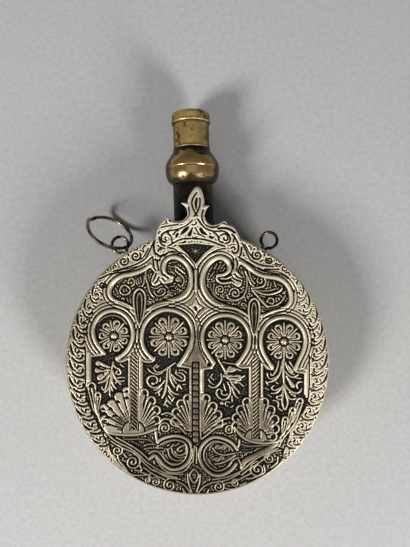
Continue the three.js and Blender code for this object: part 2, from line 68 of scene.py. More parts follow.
seatGap = 0.3
drumRadius = backHigh.x
midZ = (spoutLow.z + spoutHigh.z) / 2
spoutRadius = spoutHigh.x
seatRadius = spoutRadius + seatGap
sleeveRadius = sleeveHigh.x
knopRadius = knopLowerHigh.x
capRadius = capHigh.x
crownRadius = crownHigh.x


# Curves in the plane: smooth through points, wound inwards, or part of a circle
def spline(points, closed=False, step=0.45):
    p = np.array(points, float)
    if len(p) == 2:
        n = max(2, int(np.hypot(*(p[1] - p[0])) / (4 * step)) + 1)
        return p[0] + (p[1] - p[0]) * np.linspace(0, 1, n)[:, None]
    if closed:
        knots = np.vstack([p[-1:], p, p[:2]])
    else:
        knots = np.vstack([2 * p[:1] - p[1:2], p, 2 * p[-1:] - p[-2:-1]])
    out = []
    for a, b, c, d in zip(knots, knots[1:], knots[2:], knots[3:]):
        n = max(2, int(np.linalg.norm(c - b) / step))
        t = np.linspace(0, 1, n, endpoint=False)[:, None]
        bend, twist = 2 * a - 5 * b + 4 * c - d, 3 * b - a - 3 * c + d
        out.append(0.5 * (2 * b + (c - a) * t + bend * t**2 + twist * t**3))
    out.append(p[:1] if closed else p[-1:])
    return np.vstack(out)


def spiral(at, r, start, turns, hand):
    inner, perTurn = 0.35, 14
    t = np.linspace(0, 1, int(perTurn * turns) + 2)
    a = math.radians(start) + hand * turns * 2 * math.pi * t
    reach = r + (inner - r) * t
    return np.c_[at[0] + reach * np.cos(a), at[1] + reach * np.sin(a)]


def around(at, r, start, end, n=9):
    a = np.radians(np.linspace(start, end, n))
    return np.c_[at[0] + r * np.cos(a), at[1] + r * np.sin(a)]


def smoothStep(low, high, x):
    t = np.clip((x - low) / (high - low), 0, 1)
    return t * t * (3 - 2 * t)


# Making pieces
def newMesh(name, verts, faces, material):
    mesh = bpy.data.meshes.new(name)
    mesh.from_pydata((np.asarray(verts, float) * mm).tolist(), [], faces)
    mesh.validate()
    mesh.polygons.foreach_set("use_smooth", [True] * len(mesh.polygons))
    mesh.materials.append(material)
    return mesh


def placePiece(mesh, body, stands=()):
    piece = bpy.data.objects.new(mesh.name, mesh)
    bpy.context.scene.collection.objects.link(piece)
    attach(piece, body)
    if stands:
        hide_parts(*stands)


def addPiece(name, verts, faces, body, slot, material, stands=()):
    placePiece(newMesh(name, verts, faces, material), body, stands)


# A closed profile of (radius, height) with its corners eased, apart from those that are nearly straight
def eased(points, r, steps=4):
    straight, mostOfSide = -0.94, 0.45
    p = np.array(points, float)
    out = []
    for before, corner, after in zip(np.roll(p, 1, 0), p, np.roll(p, -1, 0)):
        toBefore, toAfter = before - corner, after - corner
        longBefore, longAfter = np.linalg.norm(toBefore), np.linalg.norm(toAfter)
        cosine = toBefore @ toAfter / (longBefore * longAfter)
        if cosine < straight:
            out.append(corner)
            continue
        a = corner + toBefore * min(r / longBefore, mostOfSide)
        b = corner + toAfter * min(r / longAfter, mostOfSide)
        for t in np.linspace(0, 1, steps):
            out.append((1 - t) ** 2 * a + 2 * t * (1 - t) * corner + t**2 * b)
    return np.array(out)


# Revolves a closed profile about the neck (along Y) or about the drum (along Z). Wobble is how far slow
# waves, as hand work leaves them, draw the radius in
def turned(profile, sides, axis="Y", wobble=0.0, seed=0.0):
    a = 2 * math.pi * (np.arange(sides) + 0.5) / sides
    r = profile[:, :1] * np.ones(sides)
    h = profile[:, 1:] * np.ones(sides)
    if wobble:
        wave = np.sin(2 * a + seed + 0.11 * h) + 0.6 * np.sin(3 * a - 0.23 * h + 2 * seed)
        wave += 0.4 * np.sin(5 * a + 0.31 * h + 3 * seed)
        r = r - wobble * (1 + 0.5 * wave)
    x, other = r * np.cos(a), r * np.sin(a)
    points = (x, h, midZ + other) if axis == "Y" else (x, other, h)
    verts = np.stack(points, -1).reshape(-1, 3)
    n, faces = len(profile), []
    for i in range(n):
        for k in range(sides):
            low, high = i * sides, (i + 1) % n * sides
            quad = (low + k, low + (k + 1) % sides, high + (k + 1) % sides, high + k)
            faces.append(quad if axis == "Z" else quad[::-1])
    return verts, faces


# Round wire along a path of points, with domed ends
def wire(path, radius, sides=14):
    path = np.array(path, float)
    radius = np.broadcast_to(radius, len(path))
    ahead = np.gradient(path, axis=0)
    ahead /= np.linalg.norm(ahead, axis=1)[:, None]
    unlikely = (0.31, 0.17, 0.93)  # a direction that no wire starts in
    normal = np.cross(ahead[0], unlikely)
    normal /= np.linalg.norm(normal)
    rings, a = [], np.linspace(0, 2 * math.pi, sides, endpoint=False)
    domed = [(-0.8, 0.25), (-0.55, 0.7), (-0.2, 0.95)]  # shift and width of the end's rings, in radii
    stations = [(0, back, wide) for back, wide in domed]
    stations += [(i, 0, 1) for i in range(len(path))]
    stations += [(len(path) - 1, back, wide) for back, wide in domed[::-1]]
    for i, back, wide in stations:
        normal = normal - ahead[i] * (normal @ ahead[i])
        normal /= np.linalg.norm(normal)
        other = np.cross(ahead[i], normal)
        shift = -back if i else back
        middle = path[i] + ahead[i] * shift * radius[i]
        circle = np.cos(a)[:, None] * normal + np.sin(a)[:, None] * other
        rings.append(middle + radius[i] * wide * circle)
    faces = [tuple(range(sides))[::-1]]
    for n in range(len(rings) - 1):
        for k in range(sides):
            low, high = n * sides, (n + 1) * sides
            faces.append((low + k, low + (k + 1) % sides, high + (k + 1) % sides, high + k))
    faces.append(tuple(range((len(rings) - 1) * sides, len(rings) * sides)))
    return np.vstack(rings), faces


# Shader building: a value is either a socket to link or a constant to set
def feed(tree, socket, value):
    if isinstance(value, bpy.types.NodeSocket):
        tree.links.new(value, socket)
    else:
        socket.default_value = value


def put(tree, kind, values=None, **settings):
    made = tree.nodes.new("ShaderNode" + kind)
    for key, value in settings.items():
        setattr(made, key, value)
    for key, value in (values or {}).items():
        feed(tree, made.inputs[key], value)
    return made


def calc(tree, operation, a, b=0.5, clamp=False):
    return put(tree, "Math", {0: a, 1: b}, operation=operation, use_clamp=clamp).outputs[0]


def times(tree, a, b):
    return calc(tree, "MULTIPLY", a, b)


# Noise about its middle, so that it raises and lowers alike
def swing(tree, value, amount):
    return times(tree, calc(tree, "SUBTRACT", value, 0.5), amount)


def remap(tree, value, fromLow, fromHigh, toLow=0.0, toHigh=1.0):
    values = {"Value": value, "From Min": fromLow, "From Max": fromHigh, "To Min": toLow, "To Max": toHigh}
    return put(tree, "MapRange", values, interpolation_type="SMOOTHSTEP").outputs[0]


def blend(tree, amount, a, b):
    made = put(tree, "Mix", data_type="RGBA")
    factor, first, second, colourOut = 0, 6, 7, 2  # sockets of the colour mix
    feed(tree, made.inputs[factor], amount)
    for socket, value in ((first, a), (second, b)):
        feed(tree, made.inputs[socket], (*value, 1) if isinstance(value, tuple) else value)
    return made.outputs[colourOut]


def noise(tree, vector, scale, detail=4.0, rough=0.55, distortion=0.0):
    values = {"Vector": vector, "Scale": scale, "Detail": detail, "Roughness": rough}
    return put(tree, "TexNoise", {**values, "Distortion": distortion}).outputs[0]


def newGroup(name, inputs, outputs):
    tree = bpy.data.node_groups.new(name, "ShaderNodeTree")
    for socket, value in inputs.items():
        kind = "NodeSocketVector" if value is None else "NodeSocketFloat"
        made = tree.interface.new_socket(socket, in_out="INPUT", socket_type=kind)
        if value is not None:
            made.default_value = value
    for socket in outputs:
        tree.interface.new_socket(socket, in_out="OUTPUT", socket_type="NodeSocketFloat")
    return tree, tree.nodes.new("NodeGroupInput").outputs, tree.nodes.new("NodeGroupOutput").inputs


# Cloudy patches with ragged edges, as old metal tarnishes
def patinaGroup():
    tree, given, result = newGroup("patina", {"Vector": None, "Scale": 90.0, "Cover": 0.5}, ["Mask", "Cloud"])
    finer, ragging, softEdge = 5.0, 0.3, 0.09
    cloud = noise(tree, given["Vector"], given["Scale"], 6.0, 0.62, 0.6)
    fine = noise(tree, given["Vector"], times(tree, given["Scale"], finer), 3.0)
    ragged = calc(tree, "ADD", cloud, swing(tree, fine, ragging))
    edge = calc(tree, "SUBTRACT", 1.0, given["Cover"])
    low = calc(tree, "SUBTRACT", edge, softEdge)
    high = calc(tree, "ADD", edge, softEdge)
    tree.links.new(remap(tree, ragged, low, high), result["Mask"])
    tree.links.new(cloud, result["Cloud"])
    return tree


# Corners rubbed bright and hollows left dark, from the shape itself; the cap also paints a highlight on its
# bright corners
def rubGroup():
    tree, given, result = newGroup("rub", {"Vector": None, "Reach": 0.5}, ["Crest", "Hollow"])
    crestFrom, hollowFrom, fullReach = 0.515, 0.485, 0.06  # an even surface has 0.5
    breakScale, breakAmount = 900.0, 0.03
    shape = put(tree, "NewGeometry").outputs["Pointiness"]
    broken = swing(tree, noise(tree, given["Vector"], breakScale), breakAmount)
    shape = calc(tree, "ADD", shape, broken)
    reach = times(tree, given["Reach"], fullReach)
    tree.links.new(remap(tree, calc(tree, "SUBTRACT", shape, crestFrom), 0.0, reach), result["Crest"])
    tree.links.new(remap(tree, calc(tree, "SUBTRACT", hollowFrom, shape), 0.0, reach), result["Hollow"])
    return tree


# Fine handling scratches, drawn out along one direction
def scratchGroup():
    inputs = {"Vector": None, "Stretch": 12.0, "Scale": 500.0}
    tree, given, result = newGroup("scratches", inputs, ["Mask", "Height"])
    elsewhere = (0.313, 0.127, 0.171)  # keeps the lines from following the clouds
    spread = put(tree, "CombineXYZ", {"X": 1.0, "Y": calc(tree, "DIVIDE", 1.0, given["Stretch"]), "Z": 1.0})
    ends = {0: given["Vector"], 1: spread.outputs[0]}
    drawn = put(tree, "VectorMath", ends, operation="MULTIPLY").outputs[0]
    shifted = put(tree, "VectorMath", {0: drawn, 1: elsewhere}, operation="ADD").outputs[0]
    lines = noise(tree, shifted, given["Scale"], 2.0, 0.7)
    tree.links.new(remap(tree, lines, 0.55, 0.72), result["Mask"])
    tree.links.new(lines, result["Height"])
    return tree


patina, rub, scratches = patinaGroup(), rubGroup(), scratchGroup()


def useGroup(tree, group, values):
    return put(tree, "Group", values, node_tree=group).outputs


def newMaterial(name):
    material = bpy.data.materials.new(name)
    material.use_nodes = True
    tree = material.node_tree
    tree.nodes.clear()
    shader = put(tree, "BsdfPrincipled")
    tree.links.new(shader.outputs[0], put(tree, "OutputMaterial").inputs["Surface"])
    place = put(tree, "TexCoord").outputs["Object"]
    return material, tree, shader.inputs, place


def bump(tree, shader, height, strength, distance):
    made = put(tree, "Bump", {"Height": height, "Strength": strength, "Distance": distance})
    tree.links.new(made.outputs[0], shader["Normal"])


# Silvered sheet: bright where the chasing stands up, black oxide where it is cut down
silverLook = {
    "dull": ((0.46, 0.39, 0.27), (0.26, 0.21, 0.135)),
    "bright": (0.76, 0.68, 0.505),
    # pale silver of the polished crest and finial, which also serves as painted highlight there and on the
    # right rim
    "polishAndSheen": (0.93, 0.85, 0.68),
    "brown": (0.125, 0.088, 0.068),
    "speck": (0.32, 0.265, 0.175),
    "oxide": ((0.004, 0.004, 0.003), (0.009, 0.01, 0.0095)),
    "metallic": (0.62, 0.25),      # of plain silver, and of the polished silver with painted highlight
    "roughness": (0.6, 0.4),       # of oxide, and of silver
}


def silverFinish():
    look = silverLook
    material, tree, shader, place = newMaterial("silveredPlaque")
    layers = [put(tree, "Attribute", attribute_name=name) for name in ("silver", "brown", "polishAndSheen")]
    raised, brown, polishAndSheen = (layer.outputs["Fac"] for layer in layers)
    clouds = useGroup(tree, patina, {"Vector": place, "Scale": 60.0, "Cover": 0.45})
    specks = useGroup(tree, patina, {"Vector": place, "Scale": 420.0, "Cover": 0.4})
    marks = useGroup(tree, scratches, {"Vector": place, "Stretch": 6.0, "Scale": 900.0})
    tone = calc(tree, "ADD", raised, swing(tree, specks["Cloud"], 0.3))
    worn = remap(tree, tone, 0.2, 0.52)
    dull = blend(tree, clouds["Cloud"], *look["dull"])
    metal = blend(tree, remap(tree, tone, 0.5, 0.85), dull, look["bright"])
    # Polish and painted highlight: paler silver on the crest and finial, and a painted highlight along the
    # right rim
    metal = blend(tree, remap(tree, polishAndSheen, 0.55, 1.0, 0.0, 0.8), metal, look["polishAndSheen"])
    metal = blend(tree, brown, metal, look["brown"])
    metal = blend(tree, times(tree, specks["Mask"], 0.3), metal, look["speck"])
    oxide = blend(tree, clouds["Mask"], *look["oxide"])
    tree.links.new(blend(tree, worn, oxide, metal), shader["Base Color"])
    metallic = remap(tree, polishAndSheen, 0.0, 1.0, *look["metallic"])
    tree.links.new(times(tree, worn, metallic), shader["Metallic"])
    shader["Specular IOR Level"].default_value = 0.1
    rough = remap(tree, worn, 0.0, 1.0, *look["roughness"])
    rough = calc(tree, "ADD", rough, times(tree, specks["Mask"], 0.1))
    tree.links.new(rough, shader["Roughness"])
    fine = times(tree, marks["Height"], 0.3)
    grain = calc(tree, "ADD", times(tree, specks["Cloud"], 0.7), fine)
    bump(tree, shader, grain, 0.25, 0.0002)
    return material


# Old brass. Cover is the share of it that is stained, and shine the roughness of clean metal. Each band is a
# belt of stain at a height up the neck: middle and half width in mm, and strength; on the knop the belts also
# carry painted shade. Side shade is the radius in mm of the part whose sides, turned away from the camera,
# get painted shade, and how dark. Edge is the colour of rubbed edges; the cap's pale one is a painted
# highlight
def brassFinish(name, bright, dull, dark, cover, shine, bands=(), sideShade=(1.0, 0.0), edge=None, metal=1.0):
    material, tree, shader, place = newMaterial(name)
    clouds = useGroup(tree, patina, {"Vector": place, "Scale": 110.0, "Cover": cover})
    specks = useGroup(tree, patina, {"Vector": place, "Scale": 650.0, "Cover": 0.33})
    marks = useGroup(tree, scratches, {"Vector": place, "Stretch": 10.0, "Scale": 700.0})
    shape = useGroup(tree, rub, {"Vector": place, "Reach": 0.6})
    colour = blend(tree, clouds["Cloud"], bright, dull)
    colour = blend(tree, times(tree, marks["Mask"], 0.35), colour, bright)
    stainAndShade = calc(tree, "MAXIMUM", clouds["Mask"], times(tree, specks["Mask"], 0.75))
    stainAndShade = calc(tree, "MAXIMUM", stainAndShade, times(tree, shape["Hollow"], 0.8))
    stainAndShade = calc(tree, "SUBTRACT", stainAndShade, times(tree, shape["Crest"], 0.6), True)
    # Rubbed edges turn bright; the cap's pale cream edge colour is a painted highlight
    colour = blend(tree, times(tree, shape["Crest"], 0.8), colour, edge or bright)
    # Painted shade: colour darkened down the sides that turn away from the camera, darkest lowest
    axes = put(tree, "SeparateXYZ", {0: place}).outputs
    up, radius = axes["Y"], sideShade[0] * mm
    drift = swing(tree, clouds["Cloud"], 1.2 * radius)
    raised = calc(tree, "ADD", calc(tree, "SUBTRACT", axes["Z"], midZ * mm), drift)
    sides = remap(tree, raised, 0.35 * radius, 0.95 * radius, sideShade[1], 0.0)
    stainAndShade = calc(tree, "MAXIMUM", stainAndShade, sides)
    for middle, half, strength in bands:
        off = calc(tree, "ABSOLUTE", calc(tree, "SUBTRACT", up, middle * mm))
        ragged = swing(tree, clouds["Cloud"], 3 * half * mm)
        belt = remap(tree, calc(tree, "ADD", off, ragged), 0.45 * half * mm, half * mm, strength, 0.0)
        stainAndShade = calc(tree, "MAXIMUM", stainAndShade, belt)
    tree.links.new(blend(tree, stainAndShade, colour, dark), shader["Base Color"])
    tree.links.new(remap(tree, stainAndShade, 0.0, 1.0, metal, 0.55), shader["Metallic"])
    rough = remap(tree, stainAndShade, 0.0, 1.0, shine, shine + 0.15)
    tree.links.new(calc(tree, "ADD", rough, times(tree, marks["Mask"], 0.08)), shader["Roughness"])
    shader["Specular IOR Level"].default_value = 0.2
    bump(tree, shader, calc(tree, "ADD", marks["Height"], specks["Cloud"]), 0.12, 0.0003)
    return material


# Drawn wire, dark with worn patches and black specks
def ironFinish(name, dark, light, speck=(0.02, 0.018, 0.015)):
    material, tree, shader, place = newMaterial(name)
    clouds = useGroup(tree, patina, {"Vector": place, "Scale": 160.0, "Cover": 0.5})
    specks = useGroup(tree, patina, {"Vector": place, "Scale": 900.0, "Cover": 0.38})
    colour = blend(tree, clouds["Mask"], dark, light)
    colour = blend(tree, specks["Mask"], colour, speck)
    tree.links.new(colour, shader["Base Color"])
    shader["Metallic"].default_value = 0.9
    tree.links.new(remap(tree, clouds["Cloud"], 0.3, 0.7, 0.4, 0.24), shader["Roughness"])
    bump(tree, shader, specks["Cloud"], 0.2, 0.0003)
    return material


def leatherFinish():
    material, tree, shader, place = newMaterial("washerLeather")
    cells = put(tree, "TexVoronoi", {"Vector": place, "Scale": 1400.0}).outputs["Distance"]
    clouds = useGroup(tree, patina, {"Vector": place, "Scale": 200.0, "Cover": 0.4})
    tree.links.new(blend(tree, clouds["Cloud"], (0.2, 0.11, 0.06), (0.1, 0.055, 0.03)), shader["Base Color"])
    shader["Roughness"].default_value = 0.75
    bump(tree, shader, cells, 0.5, 0.0003)
    return material


def paperFinish():
    material, tree, shader, place = newMaterial("floorPaper")
    soft = noise(tree, place, 9.0, 3.0)
    fibre = noise(tree, place, 420.0, 5.0, 0.65)
    colour = blend(tree, soft, (0.478, 0.47, 0.464), (0.524, 0.514, 0.504))
    colour = blend(tree, remap(tree, fibre, 0.35, 0.7), colour, (0.443, 0.435, 0.426))
    tree.links.new(colour, shader["Base Color"])
    shader["Roughness"].default_value = 0.85
    bump(tree, shader, fibre, 0.15, 0.0004)
    return material


brasses = {
    "drumBrass": {
        "bright": (0.42, 0.34, 0.2), "dull": (0.27, 0.21, 0.12), "dark": (0.12, 0.098, 0.062),
        "cover": 0.42, "shine": 0.36,
    },
    "darkBrass": {
        "bright": (0.15, 0.125, 0.05), "dull": (0.012, 0.012, 0.009), "dark": (0.004, 0.004, 0.004),
        "cover": 0.6, "shine": 0.26, "bands": [(sleeveLow.y, 13.0, 1.0)],
    },
    "knopBrass": {
        "bright": (0.84, 0.57, 0.24), "dull": (0.48, 0.29, 0.095), "dark": (0.018, 0.015, 0.01),
        # the knop's sides get painted shade, and its belts are black patina deepened by painted shade
        "cover": 0.35, "shine": 0.19, "sideShade": (knopRadius, 0.97), "metal": 0.9,
        "bands": [(knopUpperHigh.y - 0.4, 4.6, 1.0), (knopLowerLow.y, 3.0, 0.95)],
    },
    "capBrass": {
        "bright": (0.92, 0.66, 0.24), "dull": (0.6, 0.41, 0.13), "dark": (0.1, 0.06, 0.02),
        # the cap's sides get painted shade, and its pale cream edge colour is a painted highlight
        "cover": 0.43, "shine": 0.3, "sideShade": (capRadius, 1.0), "metal": 0.8, "edge": (0.95, 0.86, 0.62),
        "bands": [(capLow.y + 0.4, 1.0, 0.7), (capHigh.y - 0.3, 0.8, 0.8)],
    },
}
silver = silverFinish()
drumBrass, darkBrass, knopBrass, capBrass = (brassFinish(name, **look) for name, look in brasses.items())
iron = ironFinish("ironWire", (0.022, 0.02, 0.017), (0.2, 0.175, 0.125))
ringIron = ironFinish("ringWire", (0.046, 0.042, 0.03), (0.4, 0.365, 0.255))
leather = leatherFinish()
print("finishes made")


# The chased plaque is drawn flat, in millimetres from its middle, then laid on the drum
plaque = {
    "drawnRadius": 60.0,
    "turn": -1.8,          # degrees; it sits slightly askew on the neck
    "cell": 0.235,         # spacing of the mesh
    "parts": (-16.0, 16.0),  # the sheet is parted into pieces at these heights
    "sheet": 0.9,
    "skirt": 4.0,          # turned-down edge
    "ground": 0.04,        # sunk fields above the sheet's face
    "flat": 0.8,           # flat metal between the fields
    "rib": 1.32,           # crests of arches and scroll frames
    "bendLine": 66.2,      # where the finial starts down towards the neck
    "bendSoft": 2.2,
    "tipClear": 2.6,       # finial's tip to the foot of the knop
    "roundFrom": 108.7 - 360,
    "roundTo": 71.0,       # degrees; the shoulders rise between these
    "gridFrom": (-61.0, -61.0),
    "gridSpan": (122, 145),
}
sheetBack = plateHigh.z + seatGap
sheetFace = sheetBack + plaque["sheet"]
tipDrop = sheetBack - (midZ + sleeveRadius + seatGap)
tipReach = knopLowerLow.y - plaque["tipClear"] - plaque["bendLine"]
ground, flat, ribTop, cell = (plaque[k] for k in ("ground", "flat", "rib", "cell"))

gridLow = np.array(plaque["gridFrom"])
gridU, gridV = np.meshgrid(*(low + cell * np.arange(int(span / cell) + 1)
                             for low, span in zip(plaque["gridFrom"], plaque["gridSpan"])))
height = np.full(gridU.shape, flat)


def plaqueOutline():
    roundEdge = around((0, 0), plaque["drawnRadius"], plaque["roundTo"], plaque["roundFrom"], 420)
    leftScroll = [(-18.9, 58.6), (-18.2, 61.2), (-16.2, 64.2), (-13.5, 66.9)]
    leftSweep = [(-12, 65.3), (-9.3, 64.7), (-6.6, 65.3), (-5, 67), (-4.7, 69), (-5.6, 71.6), (-7.9, 73.5)]
    notch = (-4.6, 73.6)
    leaf = [(-4.6, 74.9), (-3.5, 77.6), (-1.7, 80.5), (-0.2, 81.6), (1.2, 80.5), (2.3, 77.8), (2.9, 74.8),
            (3, 72.4)]
    rightSweep = [(5.3, 72.2), (4, 70.6), (3.2, 68.4), (3.1, 67), (4.1, 64.6), (6.4, 63.1), (9, 63.4),
                  (12.4, 65)]
    rightScroll = [(13.6, 63.5), (16, 62.4), (17.7, 60.3), (18.8, 58.2)]
    left = [spline(leftScroll), spline(leftSweep), [notch]]
    return np.vstack([roundEdge, *left, spline(leaf), spline(rightSweep), spline(rightScroll)])


# Distance to a path, the side of it and the share of its length, on the part of the grid around it
def measure(path, reach):
    low = np.floor((path.min(0) - reach - gridLow) / cell).astype(int).clip(0)
    high = np.ceil((path.max(0) + reach - gridLow) / cell).astype(int) + 1
    area = (slice(low[1], high[1]), slice(low[0], high[0]))
    u, v = gridU[area], gridV[area]
    away = np.full(u.shape, 3.0 * reach)  # anything beyond the reach
    side, along = np.zeros(u.shape), np.zeros(u.shape)
    corner = gridLow + cell * low
    for n, (a, b) in enumerate(zip(path[:-1], path[1:])):
        first = np.floor((np.minimum(a, b) - reach - corner) / cell).astype(int).clip(0)
        last = np.ceil((np.maximum(a, b) + reach - corner) / cell).astype(int) + 1
        part = (slice(first[1], last[1]), slice(first[0], last[0]))
        du, dv = u[part] - a[0], v[part] - a[1]
        eu, ev = b - a
        t = np.clip((du * eu + dv * ev) / max(eu * eu + ev * ev, 1e-9), 0, 1)
        d = np.hypot(du - t * eu, dv - t * ev)
        closer = d < away[part]
        away[part][closer] = d[closer]
        side[part][closer] = np.sign(eu * dv - ev * du)[closer]
        along[part][closer] = (n + t[closer]) / (len(path) - 1)
    return area, away, side, along


def insideOf(path, u, v):
    inside = np.zeros(u.shape, bool)
    for (au, av), (bu, bv) in zip(path, np.roll(path, -1, 0)):
        crosses = (av > v) != (bv > v)
        if crosses.any():
            inside ^= crosses & (u < (bu - au) * (v - av) / (bv - av + 1e-12) + au)
    return inside


def lift(area, amount):
    height[area] = np.maximum(height[area], ground + amount)


# Cuts never go below the ground
def sink(area, cut):
    height[area] = np.maximum(np.minimum(height[area], ground), height[area] - cut)


# The tools that chase the sheet, each with its usual depth, height or width
tools = {
    "softEdge": 0.3,       # half width of the slope round a field or a plate
    "cutDepth": 0.72,
    "cutFlat": 0.45,       # share of a cut's half width that is flat
    "ribFlat": 0.5,
    "lobeFlat": 0.72,
    "round": 0.7,          # power that rounds a ridge
    "tendrilWidth": 0.9,
    "tendrilTop": 0.62,
}
# how the width of a stroke changes from its start to its end
shapes = {
    "even": lambda t: np.ones_like(t),
    "leaf": lambda t: 0.2 + 0.8 * np.sin(np.pi * np.clip(t, 0, 1) ** 0.75) ** 0.8,
    "tail": lambda t: 1 - 0.75 * t,
    "wedge": lambda t: 0.25 + 0.75 * t,
    "stroke": lambda t: 0.5 + 0.5 * np.sin(np.pi * np.clip(t, 0.02, 0.98)) ** 0.5,
}


# Share that a spot is inside an outline: 0 to 1 across its soft edge
def insideShare(path):
    soft = tools["softEdge"]
    area, away, _, _ = measure(path, 1.0)
    inside = insideOf(path, gridU[area], gridV[area])
    return area, smoothStep(-soft, soft, np.where(inside, away, -away))


# Sinks the inside of an outline to the ground
def field(points, smooth=True):
    area, share = insideShare(spline(points, True) if smooth else np.array([*points, points[0]], float))
    height[area] = height[area] + (np.minimum(height[area], ground) - height[area]) * share


# Raises the inside of an outline
def plate(points, top):
    area, share = insideShare(spline(points, True))
    lift(area, (top - ground) * share)


# How far out each spot is in a stroke: 0 on its line, 1 at its edge
def acrossStroke(points, width, shape, smooth):
    path = spline(points) if smooth else np.array(points, float)
    area, away, _, along = measure(path, width)
    return area, away / (width / 2 * shapes[shape](along))


def rounded(x):
    return np.clip(1 - x**2, 0, 1) ** tools["round"]


def cutProfile(x):
    return 1 - smoothStep(tools["cutFlat"], 1.0, x)


def ridge(points, width, top, shape="even", smooth=True):
    area, x = acrossStroke(points, width, shape, smooth)
    lift(area, top * rounded(x))


def groove(points, width, depth=tools["cutDepth"], shape="even", smooth=True):
    area, x = acrossStroke(points, width, shape, smooth)
    sink(area, depth * cutProfile(x))


# Groove that runs beside a path, over a share of its length
def sideGroove(points, offset, side, width, depth, share):
    area, away, turn, along = measure(spline(points), offset + width)
    cut = depth * cutProfile(np.abs(away - offset) / (width / 2))
    sink(area, cut * (turn == side) * (along > share[0] + 1e-3) * (along < share[1] - 1e-3))


# Line that runs beside a path, outside a frame
def sideRidge(points, offset, side, width, top):
    area, away, turn, along = measure(spline(points), offset + width)
    x = np.where(turn == side, np.abs(away - offset) / (width / 2), 9)
    lift(area, top * rounded(x) * (along > 0.01) * (along < 0.99))


# A rib may widen to its feet
def rib(points, width, top=ribTop, foot=1.0):
    area, away, _, along = measure(spline(points), 1.3 * width)
    half = width / 2 * (1 + (foot - 1) * np.abs(2 * along - 1) ** 4)
    lift(area, (top - ground) * (1 - smoothStep(tools["ribFlat"], 1.0, away / half)))


# A spot as a very short path
def spot(at):
    return np.array([at, at], float) + [[0, 0], [1e-3, 0]]


def dome(at, r, top):
    area, away, _, _ = measure(spot(at), r)
    lift(area, (top - ground) * np.sqrt(np.clip(1 - (away / r) ** 2, 0, 1)))


def pit(at, r, depth):
    groove(spot(at), 2 * r, depth, smooth=False)


def tendril(at, r, start, turns, hand, width=tools["tendrilWidth"], top=tools["tendrilTop"]):
    ridge(spiral(at, r, start, turns, hand), width, top, smooth=False)


# A lobe that widens from its root to a round end
def lobe(root, tip, width, top, foot=0.35):
    root, tip = np.array(root, float), np.array(tip, float)
    end = tip - (tip - root) / np.linalg.norm(tip - root) * width / 2
    area, away, _, along = measure(np.array([root, end]), width)
    half = width / 2 * (foot + (1 - foot) * along)
    lift(area, (top - ground) * (1 - smoothStep(tools["lobeFlat"], 1.0, away / half)))


# Small scrolls side by side: each spot winds about the nearest shaken seed. 1 on a line, 0 between
def scrollPattern(seed, spacing, pitch):
    draws = np.random.default_rng(seed)
    nearest, wind = np.full(gridU.shape, 99.0), np.zeros(gridU.shape)
    reach = int(1.6 * spacing / cell)  # far enough to meet the next scrolls
    rowStep, shaken = 0.87 * spacing, 0.28
    for n, v in enumerate(np.arange(-60, 66, rowStep)):
        for u in np.arange(-60, 60, spacing):
            shake = draws.uniform(-shaken, shaken, 2)
            hand, start = draws.choice([-1, 1]), draws.uniform(0, 1)
            at = np.array([u + n % 2 * spacing / 2, v]) + shake * spacing
            col, row = np.round((at - gridLow) / cell).astype(int)
            area = (slice(max(row - reach, 0), row + reach), slice(max(col - reach, 0), col + reach))
            du, dv = gridU[area] - at[0], gridV[area] - at[1]
            away = np.hypot(du, dv)
            closer = away < nearest[area]
            nearest[area][closer] = away[closer]
            turn = away / pitch + hand * np.arctan2(dv, du) / (2 * math.pi) + start
            wind[area][closer] = turn[closer]
    return np.cos(math.pi * wind) ** 2


# Where nothing in the mask comes within the reach
def clearOf(mask, reach):
    near, steps = mask.copy(), int(round(reach / cell))
    for axis in (0, 1):
        spread = near.copy()
        for step in range(1, steps + 1):
            spread |= np.roll(near, step, axis) | np.roll(near, -step, axis)
        near = spread
    return ~near


